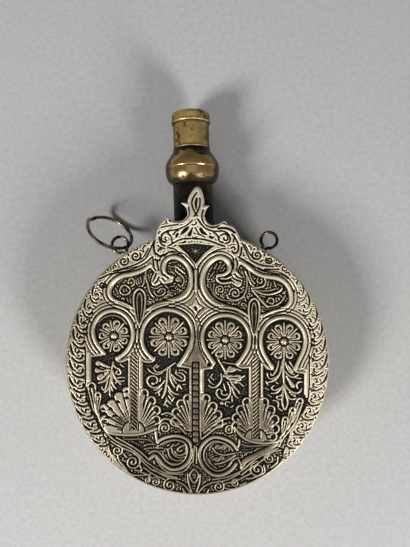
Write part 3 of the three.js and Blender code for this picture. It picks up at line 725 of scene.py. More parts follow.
# Shoulders and finial: flat metal with cut strokes by shape, each with its width
crest = {
    "even": [
      (0.75, (-16.4, 62), (-14.5, 62.5), (-11.9, 62.9), (-8.9, 63.3)),
      (0.8, (-14, 60.5), (-9.7, 61), (-6, 62.4), (-3.3, 64.4), (-2.4, 65.4)),
      (0.8, (-4.2, 71.6), (-3.9, 69), (-4.3, 67), (-5.8, 65.3), (-8, 64.4), (-10.8, 64.7)),
      (0.9, (0, 65.9), (1.9, 63.3), (3.7, 61.6), (5.6, 60.7), (7.9, 60.2), (9.9, 60.3), (11.6, 60.3),
        (13.8, 59.2), (14.8, 57.3), (14.4, 55.4), (12.7, 54.7)),
      (0.85, (2.6, 70.2), (1.9, 67.4), (2.4, 64.8), (3.7, 63.1), (5.6, 62.1), (7.9, 62.1), (9.7, 62.8)),
      (1.25, (9.4, 61.5), (12.3, 61.7), (14.9, 61), (16.9, 59.6)), (0.7, (11.4, 64), (13.6, 63.2)),
      (0.8, (-11.2, 58.8), (-9.9, 60.1), (-8.9, 60.5)), (0.75, (-1.1, 62), (-0.1, 60.1), (0.5, 59.2)),
      (0.6, (-2.3, 57.7), (-1.4, 57.3), (-0.5, 57.7)), (0.65, (0, 59), (1.9, 58.4), (3.4, 57.5)),
      (0.85, (7.5, 59.6), (9, 58.4), (9.7, 56.9)),
      (0.85, (-13.4, 53.6), (-10.8, 55.1), (-7.8, 56.5), (-4.8, 56.9), (-1.1, 56.9), (3.4, 56.4), (7.1, 55.3),
        (10.1, 54.1), (12.4, 53.4)),
      (0.75, (-13.6, 52.8), (-10.4, 52.1), (-7.8, 49.9), (-5.6, 47.6), (-3.6, 45.4), (-1.4, 42.8)),
      (0.75, (12.7, 52.5), (9, 51.7), (5.6, 49.9), (2.6, 47.2), (0.8, 45), (-0.4, 42.8)),
      (0.75, (-13.4, 50.8), (-10.8, 50.6), (-8.2, 49.9)), (0.95, (-15.2, 49), (-13.6, 50.6)),
      (1.0, (-13.4, 59.9), (-15.1, 59.7), (-16.4, 58.4), (-16.5, 56.6), (-15.7, 55.3), (-14.7, 55.5)),
      (0.85, (-13.4, 59.2), (-12.3, 58.1), (-11.7, 56.2), (-11.6, 55.3)),
      (0.75, (-14.6, 57.7), (-14.9, 56.7), (-14.1, 56.1)),
      (0.85, (-17.5, 57.7), (-17.3, 56.2), (-16.4, 54.3), (-15, 53.6)),
      (0.75, (-18.1, 54), (-17.1, 52.9), (-15.1, 52.5)), (0.8, (-17.9, 51.2), (-17.7, 52.2), (-16.6, 52)),
      (1.0, (-18.6, 50), (-17.1, 48.9), (-15.8, 49.7)), (1.0, (-19.4, 47.6), (-18.3, 46.9), (-17.1, 47.2)),
      (1.0, (-19.4, 56.6), (-20, 54), (-19.8, 51.6), (-19.1, 49.8)),
      (0.9, (10.5, 58.4), (12, 59.1), (13.3, 58.6), (13.8, 57.1), (13.1, 56), (12.1, 56.4), (11.9, 57.3)),
      (0.9, (9.7, 57.8), (9.6, 56.4), (10.5, 55.4), (11.6, 55.1)),
      (0.95, (15.6, 58.9), (16.8, 57.7), (18.2, 55.1), (18.6, 53.2), (18.5, 51.7), (17.6, 50.5), (16.4, 50.4),
        (15.7, 51.3)), (0.75, (16.6, 57.2), (16.2, 55.4)),
      (0.85, (15.3, 52.6), (16.1, 53.2), (17, 52.6), (16.9, 51.8)), (0.9, (20, 53), (19.8, 50.6), (19.2, 49)),
      (0.85, (-0.6, 78.4), (-2, 76.2), (-2.7, 73.8), (-2.3, 71.4), (-1.2, 69), (-0.2, 67.4)),
      (0.85, (0.9, 75.8), (1.1, 73.4), (0.6, 71), (-0.4, 68.8), (-1.6, 67.2))],
    "leaf": [
      (1.9, (-4, 62.3), (-5.9, 60.6), (-7.8, 58.6)), (1.9, (1, 62), (2.3, 59.9), (4.4, 58.6)),
      (1.4, (-8.9, 59.6), (-10, 57.2)), (1.3, (5, 58.2), (6.4, 57.3), (7.7, 57.8)),
      (1.3, (-0.4, 76.2), (-0.8, 73.2), (-0.6, 70))],
    "wedge": [(2.0, (-2.3, 62), (-3.7, 58.8))],
}
crestCut = {"widen": 1.15, "depth": 0.85}


def chaseCrest():
    for shape, strokes in crest.items():
        for width, *path in strokes:
            groove(path, crestCut["widen"] * width, crestCut["depth"], shape)


# Scroll frames above and below the arcade: thick ribs with cut lines outside, and the side that is inside
frames = {
    "leftLobe": ([(-21.5, 44.8), (-25, 42.3), (-30, 40.7), (-34, 39.9), (-37, 38.5), (-39.2, 36.5),
      (-40.3, 34), (-40.2, 31.5), (-39, 29.6), (-37, 28.3), (-33.5, 27), (-31, 25.8), (-29.5, 25)], 1),
    "leftScroll": ([(-11.5, 39.3), (-13.8, 40), (-15.2, 42), (-15.4, 44.7), (-14.2, 47), (-11, 48.4),
      (-7.6, 47.4), (-5, 45.2), (-3.5, 42), (-2.9, 38), (-3.6, 34.2), (-6, 30.8), (-11, 28.6), (-17, 26.7),
      (-22.6, 24.5)], -1),
    "rightScroll": ([(9, 40), (12, 40.5), (14, 42), (14.6, 44.5), (13.5, 47), (10.2, 48.3), (6.6, 47),
      (4, 44.4), (2.3, 40.6), (2, 36), (3.3, 32), (6, 28.6), (10, 26.4), (14, 25.6), (18, 24.6),
      (23, 21.7)], 1),
    "rightLobe": ([(19.5, 46.2), (23, 44), (26, 41.5), (29, 40), (33, 39.3), (36.5, 38.8), (39.5, 37),
      (41.5, 34.5), (42.5, 31.5), (42.3, 28.4), (40.8, 26.2), (38, 24.8), (34, 23.4), (28.3, 21.3)], -1),
    "leftRound": ([(-18.5, -35.5), (-15, -33.7), (-10, -32.8), (-5.5, -34), (-3, -37), (-2.8, -41),
      (-4.5, -45), (-8, -47.6), (-12, -48), (-15.5, -46), (-17.5, -43.5), (-19.5, -41.7), (-21.5, -43)], 1),
    "rightRound": ([(18, -39), (15.5, -36), (11.5, -34), (7, -33.5), (3, -36), (1, -39.5), (1, -43.5),
      (3, -47.5), (7, -50.5), (11, -50.6), (15, -48.5), (17.5, -45.5)], -1),
}
fields = {
    "leftCartouche": [(-21.8, 43.4), (-25.5, 41.1), (-30, 39.5), (-34, 38.7), (-37, 37), (-38.9, 34.2),
      (-39, 31.4), (-37.2, 29.6), (-34, 28.2), (-31, 26.9), (-28.8, 25.6), (-26, 24.2), (-23.6, 25.4),
      (-19, 27.4), (-13, 29.4), (-8.2, 31.2), (-5.2, 34.2), (-4.2, 38), (-4.6, 41.8), (-6.4, 45), (-9.4, 47),
      (-12.4, 47.2), (-14, 45.6), (-14.4, 43), (-15.6, 40.8), (-17.5, 40.2), (-19.4, 41.4)],
    "rightCartouche": [(19.6, 44.9), (23.5, 42), (27, 39.9), (31, 38.6), (35, 38), (38.4, 36.6), (40.6, 34),
      (41.4, 31), (41.2, 28.2), (39.2, 26.2), (35, 24.6), (31, 23), (28.2, 21.8), (25.5, 21), (22, 23.6),
      (17, 25.9), (12, 27.2), (8.2, 29), (5.2, 32.2), (3.6, 36), (3.6, 40), (5.4, 44), (8.4, 46.7),
      (11.2, 46.9), (13.2, 45), (13.4, 43), (14.6, 41.3), (16.6, 40.6), (18, 42.4)],
    "leftRound": [(-17.6, -36.2), (-14.6, -34.7), (-10, -33.9), (-6, -35), (-4, -37.6), (-3.8, -41),
      (-5.4, -44.4), (-8.6, -46.6), (-12, -47), (-15, -45.2), (-16.8, -42.8), (-18.6, -40.6)],
    "rightRound": [(17, -39.4), (14.8, -37), (11.2, -35.1), (7.4, -34.6), (3.8, -36.8), (2, -40), (2, -43.4),
      (3.8, -46.9), (7.4, -49.5), (10.8, -49.6), (14.2, -47.6), (16.6, -44.6), (17.4, -42)],
    "leftLeaf": [(-38, -33), (-33, -33.5), (-27, -33.2), (-22, -32.2), (-19.4, -31.4), (-18.8, -34.6),
      (-18.2, -37), (-17, -38.8), (-18, -40.4), (-20.3, -41), (-22.4, -42.4), (-25, -40.4), (-29, -37.6),
      (-34, -35.2)],
    "foot": [(-42, -35.4), (-40.2, -40.2), (-37.2, -44.4), (-33.2, -48.2), (-30.4, -50.4), (-26.4, -53),
      (-20.6, -55.6), (-12.6, -57.8), (-4, -58.9), (4, -58.9), (12.4, -57.8), (20.4, -55.6), (26.6, -52.8),
      (31.4, -50), (35.6, -46.8), (38.6, -43.2), (39.4, -39.6), (41, -35.4), (42, -31), (39, -34.6),
      (35, -36.4), (29, -36.4), (23, -35), (19, -31.6), (15.6, -26.6), (10, -26.4), (4, -30.4), (-5, -30.4),
      (-11, -24.4), (-16.4, -24.4), (-18.6, -28.6), (-23, -31.4), (-29, -32.6), (-36, -32.4), (-40.6, -31.4),
      (-43.4, -31.6)],
    "leftEdge": [(-50.4, -10), (-48.4, -8.2), (-46, -11.4), (-44, -15.6), (-43.6, -20), (-43, -25),
      (-41.4, -30), (-43.4, -31), (-46.4, -26), (-48.8, -20), (-50.4, -14)],
    "rightEdge": [(50.4, -16), (48, -14.2), (45, -17.4), (42, -20.8), (39.6, -24.4), (37.6, -30),
      (38.8, -34.8), (42, -31), (46, -25.4), (49, -20.4)],
    "rightLeaf": [(20.2, -36.8), (25, -37.6), (30, -37.6), (34, -36.9), (31, -38.4), (26, -40.4),
      (22.4, -42.4), (20.2, -45.6), (19, -43.8), (17.6, -41.8), (18.6, -39)],
}
panels = [
    [(-48.4, 3), (-43.7, 3.4), (-42.6, 6.2), (-36.4, 5.6), (-37.7, 3), (-36.6, 0.9), (-33.5, 1.2),
      (-31.7, 3.4), (-31.7, -30.3), (-36, -31), (-40.5, -30.2), (-43, -26), (-44.2, -21), (-44.6, -16),
      (-45.6, -12.5), (-48.4, -9.5)],
    [(-24.9, 0.6), (-21, 0.4), (-19.9, 2), (-18.6, 5), (-8.4, 2.6), (-9.3, -0.6), (-8, -1.8), (-3.9, -2.2),
      (-3.9, -30.5), (-11, -31.5), (-18.5, -28.5), (-24.9, -30.5)],
    [(3, -2.8), (6.6, -2.6), (8.2, 0.8), (8.4, 3.4), (17, 2.6), (17.2, -0.4), (19.5, -2.2), (23.2, -2.2),
      (23.2, -33.8), (17.5, -29.5), (9.5, -29.5), (3, -31.5)],
    [(29.9, -0.8), (31.5, -2.8), (34.6, -3), (34.9, 0.4), (35.2, 3), (43.4, 1.6), (43.4, -2.2), (45, -3.9),
      (48.4, -4.6), (48.4, -15.6), (46.4, -17.6), (44.8, -24), (42, -29.5), (38.4, -33), (36, -35.2),
      (29.9, -35.4)],
]
# The curved triangle under the crest, and the star in it
spandrel = [(-9, 53.9), (-1, 54.6), (7.6, 53.6), (3.4, 50.6), (-0.9, 45.6), (-5.4, 50.6)]
lozenge = [(-0.8, 30.2), (0.9, 27.2), (3.2, 25.4), (0.8, 23.6), (-0.8, 20.6), (-2.4, 23.6), (-4.8, 25.6),
           (-2.5, 27.2)]


frameCuts = [
    {"offset": 1.3, "width": 0.75, "depth": 0.85, "share": (0.04, 0.98)},
    {"offset": 2.8, "width": 0.7, "depth": 0.58, "share": (0.16, 0.9)},
]
frameWork = {
    "rib": 1.85,
    "outerLine": {"offset": 2.0, "width": 0.9, "top": 0.9},  # round the two lower frames
    "keel": [(-0.8, 42.4), (-0.8, 33)],  # between the two scrolls
    "keelCuts": [[(x, 43), (x, 34)] for x in (-1.85, 0.4)],
    "lozenge": [(-1 + 0.84 * (u + 0.8), 25.7 + 0.84 * (v - 25.5)) for u, v in lozenge],
    "lozengeTop": 1.05,
    "lozengeLeaf": [(-1.4, 26.3), (-0.8, 25.1), (-0.6, 23.8)],
    "star": {"middle": (-1, 51.3), "rays": 6, "from": 20, "wide": 2.6, "tall": 1.9},
}


def chaseFields():
    for points in fields.values():
        field(points)
    for points in panels:
        field(points, smooth=False)
    field(spandrel, smooth=False)
    field(lozenge, smooth=False)


def chaseFrames():
    for points, side in frames.values():
        for cut in frameCuts:
            sideGroove(points, side=-side, **cut)
    for points, _ in frames.values():
        rib(points, frameWork["rib"])
    for name in ("leftRound", "rightRound"):
        points, side = frames[name]
        sideRidge(points, side=-side, **frameWork["outerLine"])
    ridge(frameWork["keel"], 1.3, 1.1)
    for path in frameWork["keelCuts"]:
        groove(path, 0.8)
    plate(frameWork["lozenge"], frameWork["lozengeTop"])
    groove(frameWork["lozengeLeaf"], 2.0, 0.6, "leaf")
    star = frameWork["star"]
    x, y = star["middle"]
    for i in range(star["rays"]):
        a = math.radians(360 / star["rays"] * i + star["from"])
        ridge([(x, y), (x + star["wide"] * math.cos(a), y + star["tall"] * math.sin(a))], 0.8, 0.45, "tail")
    dome((x, y), 0.7, 0.6)


# Horseshoe arches with rosettes
arches = [
    {"middle": (-38.2, 12.6), "petals": 7, "reach": 7.0,
     "path": [(-36.6, 2.4), (-33.6, 4.4), (-31.2, 7.4), (-29.8, 11), (-29.6, 15), (-31, 19.4), (-34.2, 22.7),
       (-38.4, 24), (-42.6, 23), (-45.8, 20.2), (-47.5, 16.4), (-47.4, 12.6), (-46, 9), (-44.2, 6.6),
       (-42.6, 4.6)]},
    {"middle": (-13.1, 12.2), "petals": 8, "reach": 8.9,
     "path": [(-20.5, 2.3), (-23.3, 5), (-25.2, 9), (-25.3, 13.5), (-24, 18), (-20.5, 22), (-15.5, 24.3),
       (-10, 23.8), (-5.5, 21.3), (-3, 17.5), (-2.3, 13), (-3.2, 8.5), (-5.3, 4), (-7.4, 0.8), (-8.6, -0.8)]},
    {"middle": (12.5, 10.8), "petals": 8, "reach": 8.3,
     "path": [(7.3, 0.3), (5, 3.6), (3, 7), (2.1, 11), (2.6, 15.2), (5, 19), (8.6, 21.3), (12.8, 22),
       (17, 21.2), (20.6, 18.8), (23, 15), (23.6, 11), (22.8, 7), (20.6, 3.2), (18, -0.2)]},
    {"middle": (39.3, 10), "petals": 8, "reach": 8.0,
     "path": [(33.8, -1.4), (31.6, 1.8), (29.6, 5.6), (28.7, 10), (29.4, 14.6), (32, 18.4), (35.6, 20.4),
       (39.2, 20.9), (43, 20), (46.2, 17.6), (48.4, 14), (49, 10), (48.2, 6), (46.4, 2.2), (44.3, -2.4)]},
]

archFeet = [
    [(-37.2, 2.7), (-36.4, 1.4), (-34.4, 1.1), (-31.8, 2.2)],
    [(-19.6, 2.8), (-20.2, 1.3), (-22.4, 0.8), (-24.8, 1.2)], [(-9, -0.5), (-6, -1.3), (-3.6, -1.8)],
    [(7.4, 0.8), (7.3, -0.2), (6.4, -1.4), (4.4, -2.1), (2.4, -2.4)],
    [(17.8, 0), (18.4, -1.1), (20.6, -1.8), (23.4, -1.5)],
    [(34, -0.6), (33.6, -2.4), (32.4, -2.2), (30.2, -0.4)], [(44.2, -2.4), (45, -3.6), (48.8, -4.2)],
]

# The smooth sheet between the two middle arches, which flares to the head of the beaded column
stem = {
    "outline": [(-0.7, 19.4), (0.7, 16.4), (0.8, 11), (1.9, 6), (3.6, 2.6), (5.6, -0.8), (-0.9, -1.2),
      (-6.8, -0.4), (-4.8, 2.6), (-3.2, 6), (-1.7, 11), (-1.9, 16.4)],
    "lines": [
      [(-1.6, 17), (-1.1, 12), (-1.9, 7.4), (-3.6, 3.4), (-5, 1)],
      [(0.2, 17), (0.1, 12), (0.8, 7.4), (2.4, 3.4), (3.8, 0.8)]],
    "top": 0.72,
}
archCuts = [
    {"offset": 1.3, "width": 0.8, "depth": 0.85, "share": (0.02, 0.98)},
    {"offset": 2.8, "width": 0.7, "depth": 0.6, "share": (0.03, 0.97)},
    {"offset": 4.2, "width": 0.65, "depth": 0.48, "share": (0.03, 0.97)},
]
archWork = {
    "rib": 1.85,
    "foot": 1.2,           # how much the ribs widen to their feet
    "innerLine": [(-45.6, 18.6), (-42.4, 21), (-38.3, 21.9), (-34.6, 20.6), (-32.4, 18)],
}


def chaseArcade():
    for arch in arches:
        path = np.array(arch["path"])
        middle = path.mean(0)
        field(path + (middle - path) / np.linalg.norm(path - middle, axis=1)[:, None])
        hand = np.sign(np.cross(path[1] - path[0], middle - path[0]))
        for cut in archCuts:
            sideGroove(path, side=-hand, **cut)
    plate(stem["outline"], stem["top"])
    for path in stem["lines"]:
        groove(path, 0.7)
    for arch in arches:
        rib(arch["path"], archWork["rib"], foot=archWork["foot"])
        chaseRosette(arch["middle"], arch["petals"], arch["reach"])
    for base in archFeet:
        ridge(base, 1.25, 1.2)
    ridge(archWork["innerLine"], 0.7, 0.5)


# Wedge petals with a comma eye and a slit, a thin spoke between each pair, and a ringed boss. The eye's
# lengths are in shares of the petal's width
rosette = {
    "reach": 1.07, "oval": 0.04, "root": 2.0, "hub": 1.6, "full": 0.76, "petalTop": 0.72, "petalFoot": 0.26,
    "eye": 0.46, "comma": [(0.1, 0.0), (-0.05, 0.0), (-0.14, -0.34)], "commaWidth": 1.5, "commaDepth": 0.9,
    "slitFrom": 2.4, "slitTo": 1.05, "slitWidth": 0.6, "spokeEnd": 0.5, "spokeWidth": 0.85, "spokeTop": 0.95,
    "ring": 2.05, "ringWidth": 0.85, "boss": 1.55, "bossTop": 0.98, "cutDepth": 0.85,
}


def chaseRosette(middle, petals, reach):
    r, middle = rosette, np.array(middle)
    for i in range(petals):
        a, b = 2 * math.pi * (i + 0.5) / petals, 2 * math.pi * i / petals
        out = np.array([math.cos(a), math.sin(a)])
        across = np.array([-out[1], out[0]]) * (-1) ** i
        far = r["reach"] * reach * (1 - r["oval"] * math.cos(2 * a))
        width = r["full"] * 2 * math.pi * (far - r["hub"]) / petals
        lobe(middle + r["root"] * out, middle + far * out, width, r["petalTop"], r["petalFoot"])
        eye = middle + (far - r["eye"] * width) * out
        comma = [eye + length * width * out + side * width * across for side, length in r["comma"]]
        groove(comma, r["commaWidth"], r["commaDepth"], "tail")
        slit = [middle + r["slitFrom"] * out, middle + (far - r["slitTo"] * width) * out]
        groove(slit, r["slitWidth"], r["cutDepth"])
        between = np.array([math.cos(b), math.sin(b)])
        spoke = [middle + r["root"] * between, middle + (far - r["spokeEnd"]) * between]
        ridge(spoke, r["spokeWidth"], r["spokeTop"])
    groove(around(middle, r["ring"], 0, 360, 25), r["ringWidth"], r["cutDepth"], smooth=False)
    dome(middle, r["boss"], r["bossTop"])


# Columns: twisted cables at the sides, beads in the middle
columns = {
    "cables": [
      {"x": -28.9, "top": 5.2, "foot": -30.2, "width": 2.9, "pitch": 1.75, "lean": -1.0, "dark": -13.0},
      {"x": 26.5, "top": 3.4, "foot": -34.2, "width": 2.8, "pitch": 1.75, "lean": 1.0, "dark": -29.0}],
    "strips": [
      ((-31.2, 3), (-31.2, -13), 0.95), ((-26.2, 3.4), (-26.2, -10.5), 1.5), ((24, -1.6), (24, -14.4), 1.4),
      ((29.2, 0), (29.2, -14.6), 1.0), ((-3.3, -2), (-3.3, -13.2), 1.1), ((1.9, -2.6), (1.9, -13), 1.2)],
    "rails": [
      ((-31, -14), (-31, -26.4)), ((-26.8, -12), (-26.8, -26.2)), ((24.6, -16), (24.6, -29.4)),
      ((28.4, -16), (28.4, -29.6)), ((1.4, -14), (1.4, -34)), ((-3.1, -14), (-3.1, -27))],
    "pilasters": [((-49.6, 5), (-49.6, -8), 1.3), ((49.5, -2.6), (49.5, -15), 1.4)],
    "edgeCuts": [
      ([(-51.1, 7), (-51.2, -6), (-50.8, -14), (-49.8, -17.8), (-48.1, -21.2), (-45.7, -24.7)], 0.9),
      ([(50.8, 4), (50.9, -6), (50.4, -15), (48.8, -20)], 0.85)],
}
beads = {
    "x": -0.9, "from": -0.7, "to": -37.0, "pitch": 2.62, "gap": 0.1, "width": 2.5, "top": 0.6,
    "fieldTop": 0.9, "fieldFoot": -38, "margin": 0.5,
}
hole = {"at": (5.3, -0.4), "radius": 1.25, "depth": 0.9}


# Twisted strands, worn low from the dark line down
def cable(x, top, foot, width, pitch, lean, dark):
    fade, worn, between = 3, 0.22, 0.08  # length of the change, how much narrower, height between strands
    across = (gridU - x) / (width / 2)
    inside = (np.abs(across) < 1) & (gridV < top) & (gridV > foot)
    phase = (gridV - lean * (gridU - x)) / pitch
    low = smoothStep(dark + fade, dark - fade, gridV)
    strand = smoothStep(0.5, 0.95, np.abs(np.sin(np.pi * phase)) - worn * low)
    body = np.sqrt(np.clip(1 - across**2, 0, 1))
    height[inside] = (ground + ribTop * 0.95 * body**0.6 * (between + (1 - between) * strand))[inside]


# A block with rounded corners
def bead(x, y, wide, tall, top):
    away = ((gridU - x) / (wide / 2)) ** 4 + ((gridV - y) / (tall / 2)) ** 4
    inside = away < 1
    height[inside] = np.maximum(height[inside], ground + (top - ground) * (1 - away[inside]) ** 0.5)


def chaseColumns():
    for part in columns["cables"]:
        half = part["width"] / 2 + 0.45
        for x in (part["x"] - half, part["x"] + half):
            groove([(x, part["top"] - 2), (x, part["foot"])], 0.8, 0.75)
        cable(**part)
    for a, b, width in columns["strips"] + columns["pilasters"]:
        rib([a, b], width, 1.1)
    for a, b in columns["rails"]:
        ridge([a, b], 0.7, 0.75)
    x, half = beads["x"], beads["width"] / 2 + beads["margin"]
    top, foot = beads["fieldTop"], beads["fieldFoot"]
    field([(x - half, top), (x + half, top), (x + half, foot), (x - half, foot)], False)
    for y in np.arange(beads["from"], beads["to"], -beads["pitch"]):
        bead(x, y, beads["width"], beads["pitch"] - beads["gap"], beads["top"])
    pit(hole["at"], hole["radius"], hole["depth"])
    for path, width in columns["edgeCuts"]:
        groove(path, width)


# Leaf sprays in the panels: lines with their widths, broad lobes, and slits cut into them
sprays = [
    {"lines": [
        (1.3, (-38.4, 0.8), (-39.2, -3), (-39.5, -7), (-40.4, -11), (-42.3, -13.2)),
        (1.1, (-39.2, -4), (-39.8, -9), (-40.1, -13), (-39.8, -15)),
        (1.7, (-40.2, -5), (-42, -7.6), (-44.9, -8.8)), (1.1, (-40.8, -7.5), (-41.6, -10), (-42.4, -13)),
        (0.9, (-43.7, -10.4), (-43, -12.2)),
        (1.15, (-38.2, -0.6), (-37.4, -1.8), (-35.9, -2.4), (-35, -4), (-36, -5), (-37.2, -4.3),
          (-36.6, -3.3)), (1.2, (-38.7, -3.2), (-38, -5.5), (-37, -6.6), (-35, -6.3), (-33.4, -6.4)),
        (1.2, (-38, -6), (-36.8, -7.6), (-34.6, -8), (-33.6, -7.8)),
        (1.1, (-36.8, -7.8), (-35.8, -8.6), (-35, -9.6)),
        (1.5, (-39, -5), (-39, -8), (-38.2, -10.2), (-37.2, -11.4)), (0.8, (-35.4, -0.2), (-33.8, -1.6)),
        (0.9, (-39.4, -10), (-38.8, -12.6))],
     "lobes": [
        ((-40.3, -1.6), (-46.6, 0.6), 2.7), ((-40.4, -2.8), (-47, -3), 3.0),
        ((-40.8, -3.8), (-45.8, -7.2), 3.1)],
     "slits": [
        (0.8, (-44.9, -0.6), (-43, -1.8)), (0.85, (-45.6, -1.9), (-43.2, -2.7), (-42, -2.3)),
        (0.85, (-45.9, -4.9), (-43.4, -4), (-42.6, -5))],
     "domes": [((-37.2, -8.6), 0.65)]},
    {"lines": [
        (1.05, (-10.2, 0.4), (-12.5, -1.2), (-15, -2.9), (-17.5, -4), (-19.3, -3.4), (-20.2, -1.8)),
        (0.95, (-22.9, -2.2), (-21.2, -3.9), (-18.5, -4.9), (-16.2, -4.3)),
        (0.8, (-19.8, -1.6), (-18.4, -0.2)), (0.8, (-18.8, -2), (-17.6, -0.9)),
        (1.4, (-13.6, -1.6), (-13.9, -5), (-14.2, -9), (-15, -13), (-16.3, -15.8)),
        (1.3, (-12.6, -2), (-12.6, -5), (-12, -8), (-10.5, -10.8)),
        (0.9, (-12.2, -4.4), (-11, -7), (-9.8, -9)),
        (1.05, (-11.6, -5), (-9.4, -7.2), (-7, -7.9), (-5.9, -7.2), (-6, -5.6), (-7.4, -4.4), (-9, -4.2)),
        (0.8, (-9.4, -5.2), (-8, -5.8), (-7.2, -6.7)), (0.9, (-9.8, -2.8), (-9.9, -4.8)),
        (0.75, (-8.6, -3), (-6.4, -3.2), (-5, -4.4)), (1.3, (-9.5, -12.2), (-8.6, -9.6), (-7.3, -11.6)),
        (0.9, (-6.8, -9.6), (-5.5, -9.4)), (1.3, (-13.6, -9.8), (-12.4, -12), (-10.6, -13.6), (-8.8, -14.1)),
        (1.0, (-13.4, -12), (-12.4, -13.6), (-11.3, -14.9)), (1.1, (-13.3, -14.4), (-12, -16.5)),
        (0.9, (-11.9, -17.3), (-10.6, -15.2)),
        (1.15, (-15, -7.5), (-16.2, -9.2), (-18.4, -10.8), (-20.6, -10.8), (-22.4, -9.4), (-23, -7.4),
          (-21.8, -5.9), (-20, -5.7), (-18.6, -6.5), (-18.3, -7.8), (-19, -9)),
        (1.0, (-16.6, -9.9), (-18.6, -11.8), (-19.9, -12)),
        (1.0, (-16.2, -11.2), (-18, -12.9), (-19.3, -13.6)), (0.8, (-17.7, -13.1), (-17.4, -14.6)),
        (1.0, (-14.2, -15.4), (-14.4, -17), (-15.3, -19)), (0.95, (-14.1, -16.2), (-12.2, -18.5)),
        (0.9, (-14.6, -18.4), (-13.6, -19.7)), (0.75, (-16.9, -6.2), (-17.2, -8.2))],
     "domes": [((-20.4, -9.1), 0.9)]},
    {"lines": [
        (1.3, (9, 2.4), (11.2, -1.2), (13.4, -5), (14.8, -7.6)),
        (1.15, (13.6, -8.4), (14.8, -11), (14.8, -13.6), (13.4, -15.8), (11.6, -16.4), (9.6, -15.4),
          (8.5, -13.5), (8.9, -12), (10.2, -11.6), (11.2, -12.4)),
        (1.0, (10.7, -12.6), (11.1, -13.8), (12.2, -14.4), (13.6, -13.8)),
        (1.3, (10.7, -4.6), (10.9, -7), (9.9, -9), (8.2, -10.6), (6.6, -10.9), (5, -10)),
        (0.8, (5, -6.8), (5.8, -8.6), (7.4, -9.6)), (0.7, (7, -4.6), (6, -6), (7.4, -7.4)),
        (1.2, (17.4, -2.4), (19.6, -3.2)), (1.2, (19, -6.8), (21.5, -5.5)),
        (1.1, (17.6, -8.4), (19.4, -9), (20.8, -10.4)),
        (0.75, (11.6, 0.6), (14, 0.1), (17, -0.3), (20.4, -2)), (1.3, (15, -8.2), (17, -11), (18.8, -12.6)),
        (1.1, (15.4, -10.4), (16.8, -14), (18.3, -15.8)), (0.9, (15.6, -14.6), (15.7, -17.4)),
        (0.9, (17.8, -11.6), (19.2, -13.8)), (0.8, (11.8, -9), (12.2, -10.6), (12.8, -12.4)),
        (0.75, *around((13.5, -18.3), 0.95, 20, 290).tolist()), (0.75, (15, -20), (16.4, -19))],
     "lobes": [
        ((12.4, -4.4), (15.6, -1.4), 2.4), ((13, -4.2), (17.4, -2.2), 2.4), ((12.8, -5.8), (20.4, -6.8), 3.6),
        ((13.4, -6.6), (18.2, -8.6), 2.4)],
     "slits": [
        (0.95, (13.8, -4.2), (15.2, -4.6), (16.6, -4)), (0.95, (16.2, -5.2), (19.4, -3.9)),
        (0.5, (14.4, -7.6), (17, -7.9)), (0.45, (14.6, -6.2), (18.6, -6.4))],
     "domes": [((12.1, -5.6), 0.8), ((11, -18), 1.0)]},
    {"lines": [
        (2.1, (39, 1.6), (38.9, -1.5)), (1.5, (38.9, -1), (39.1, -5), (39.3, -9)),
        (1.25, (39.3, -8.6), (40, -13), (41, -17), (40.6, -19.4), (39.8, -21)),
        (1.2, (39.1, -9.6), (38.8, -14), (38.5, -17.4), (39.3, -20.8)),
        (1.25, (38.2, -0.8), (37.6, -4), (36, -6.6), (34, -8), (31.8, -8.6)),
        (1.0, (36.9, 1.2), (36.4, -1.4), (35.6, -3.4), (34.2, -5.4)),
        (0.8, (37, -5), (35.2, -6.4), (33.2, -7), (32, -6.2)),
        (1.2, (38.9, -9.8), (37.4, -12), (35.6, -13.4), (33.6, -13.6)),
        (0.95, (37.9, -10.8), (35.8, -12), (34.2, -11.9), (33.7, -10.9), (34.8, -10)),
        (1.0, (38.9, -12.4), (38, -14.4), (36, -15.1), (36.4, -16), (37.6, -16.4), (38.7, -15)),
        (1.1, (34.5, -16.8), (36, -17), (36.8, -18.2), (36.6, -19.8)), (1.0, (36.9, -20.4), (38.5, -21.6)),
        (1.0, (40, 0.8), (40.6, -1.6), (42.2, -4.2), (44, -5)), (0.85, (41.8, 1), (43.9, -2.4)),
        (1.1, (39.6, -3.2), (41, -5), (43, -6.2), (44.6, -5.8), (45.9, -5)),
        (0.95, (44.4, -6.5), (47.1, -6.8)), (1.2, (47.5, -8.4), (46, -8.4), (45.1, -9.6), (45.5, -11.4)),
        (1.2, (39.6, -9.2), (41.2, -11.6), (43.2, -13), (45.4, -13.4), (46.8, -12.4), (47.3, -11.4)),
        (1.2, (40.3, -13.2), (41.6, -15.6), (43, -16.3), (44.7, -15.8)), (0.9, (31.6, -4.2), (32, -6)),
        (0.9, (33.2, -4.4), (33.8, -5.6)), (0.8, (31, -8), (32, -9.8)), (0.7, (30.6, -11), (32.4, -12)),
        (0.7, (32, -14), (33.6, -15.4)), (0.9, (35.6, -8.4), (36.6, -9.2))],
     "lobes": [((40.4, -5.8), (43.9, -11), 2.2), ((41, -0.8), (43.4, -4.2), 1.7)],
     "domes": [((42, -13.1), 0.6), ((42.8, -14), 0.65), ((44.1, -14.6), 0.8)]},
]


def chaseSprays():
    for spray in sprays:
        for root, tip, width in spray.get("lobes", []):
            lobe(root, tip, width, 0.85)
        for width, *path in spray.get("slits", []):
            groove(path, width, 0.85)
        for width, *path in spray["lines"]:
            ridge(path, width, 0.78, "stroke")
        for at, r in spray["domes"]:
            dome(at, r, 0.8)


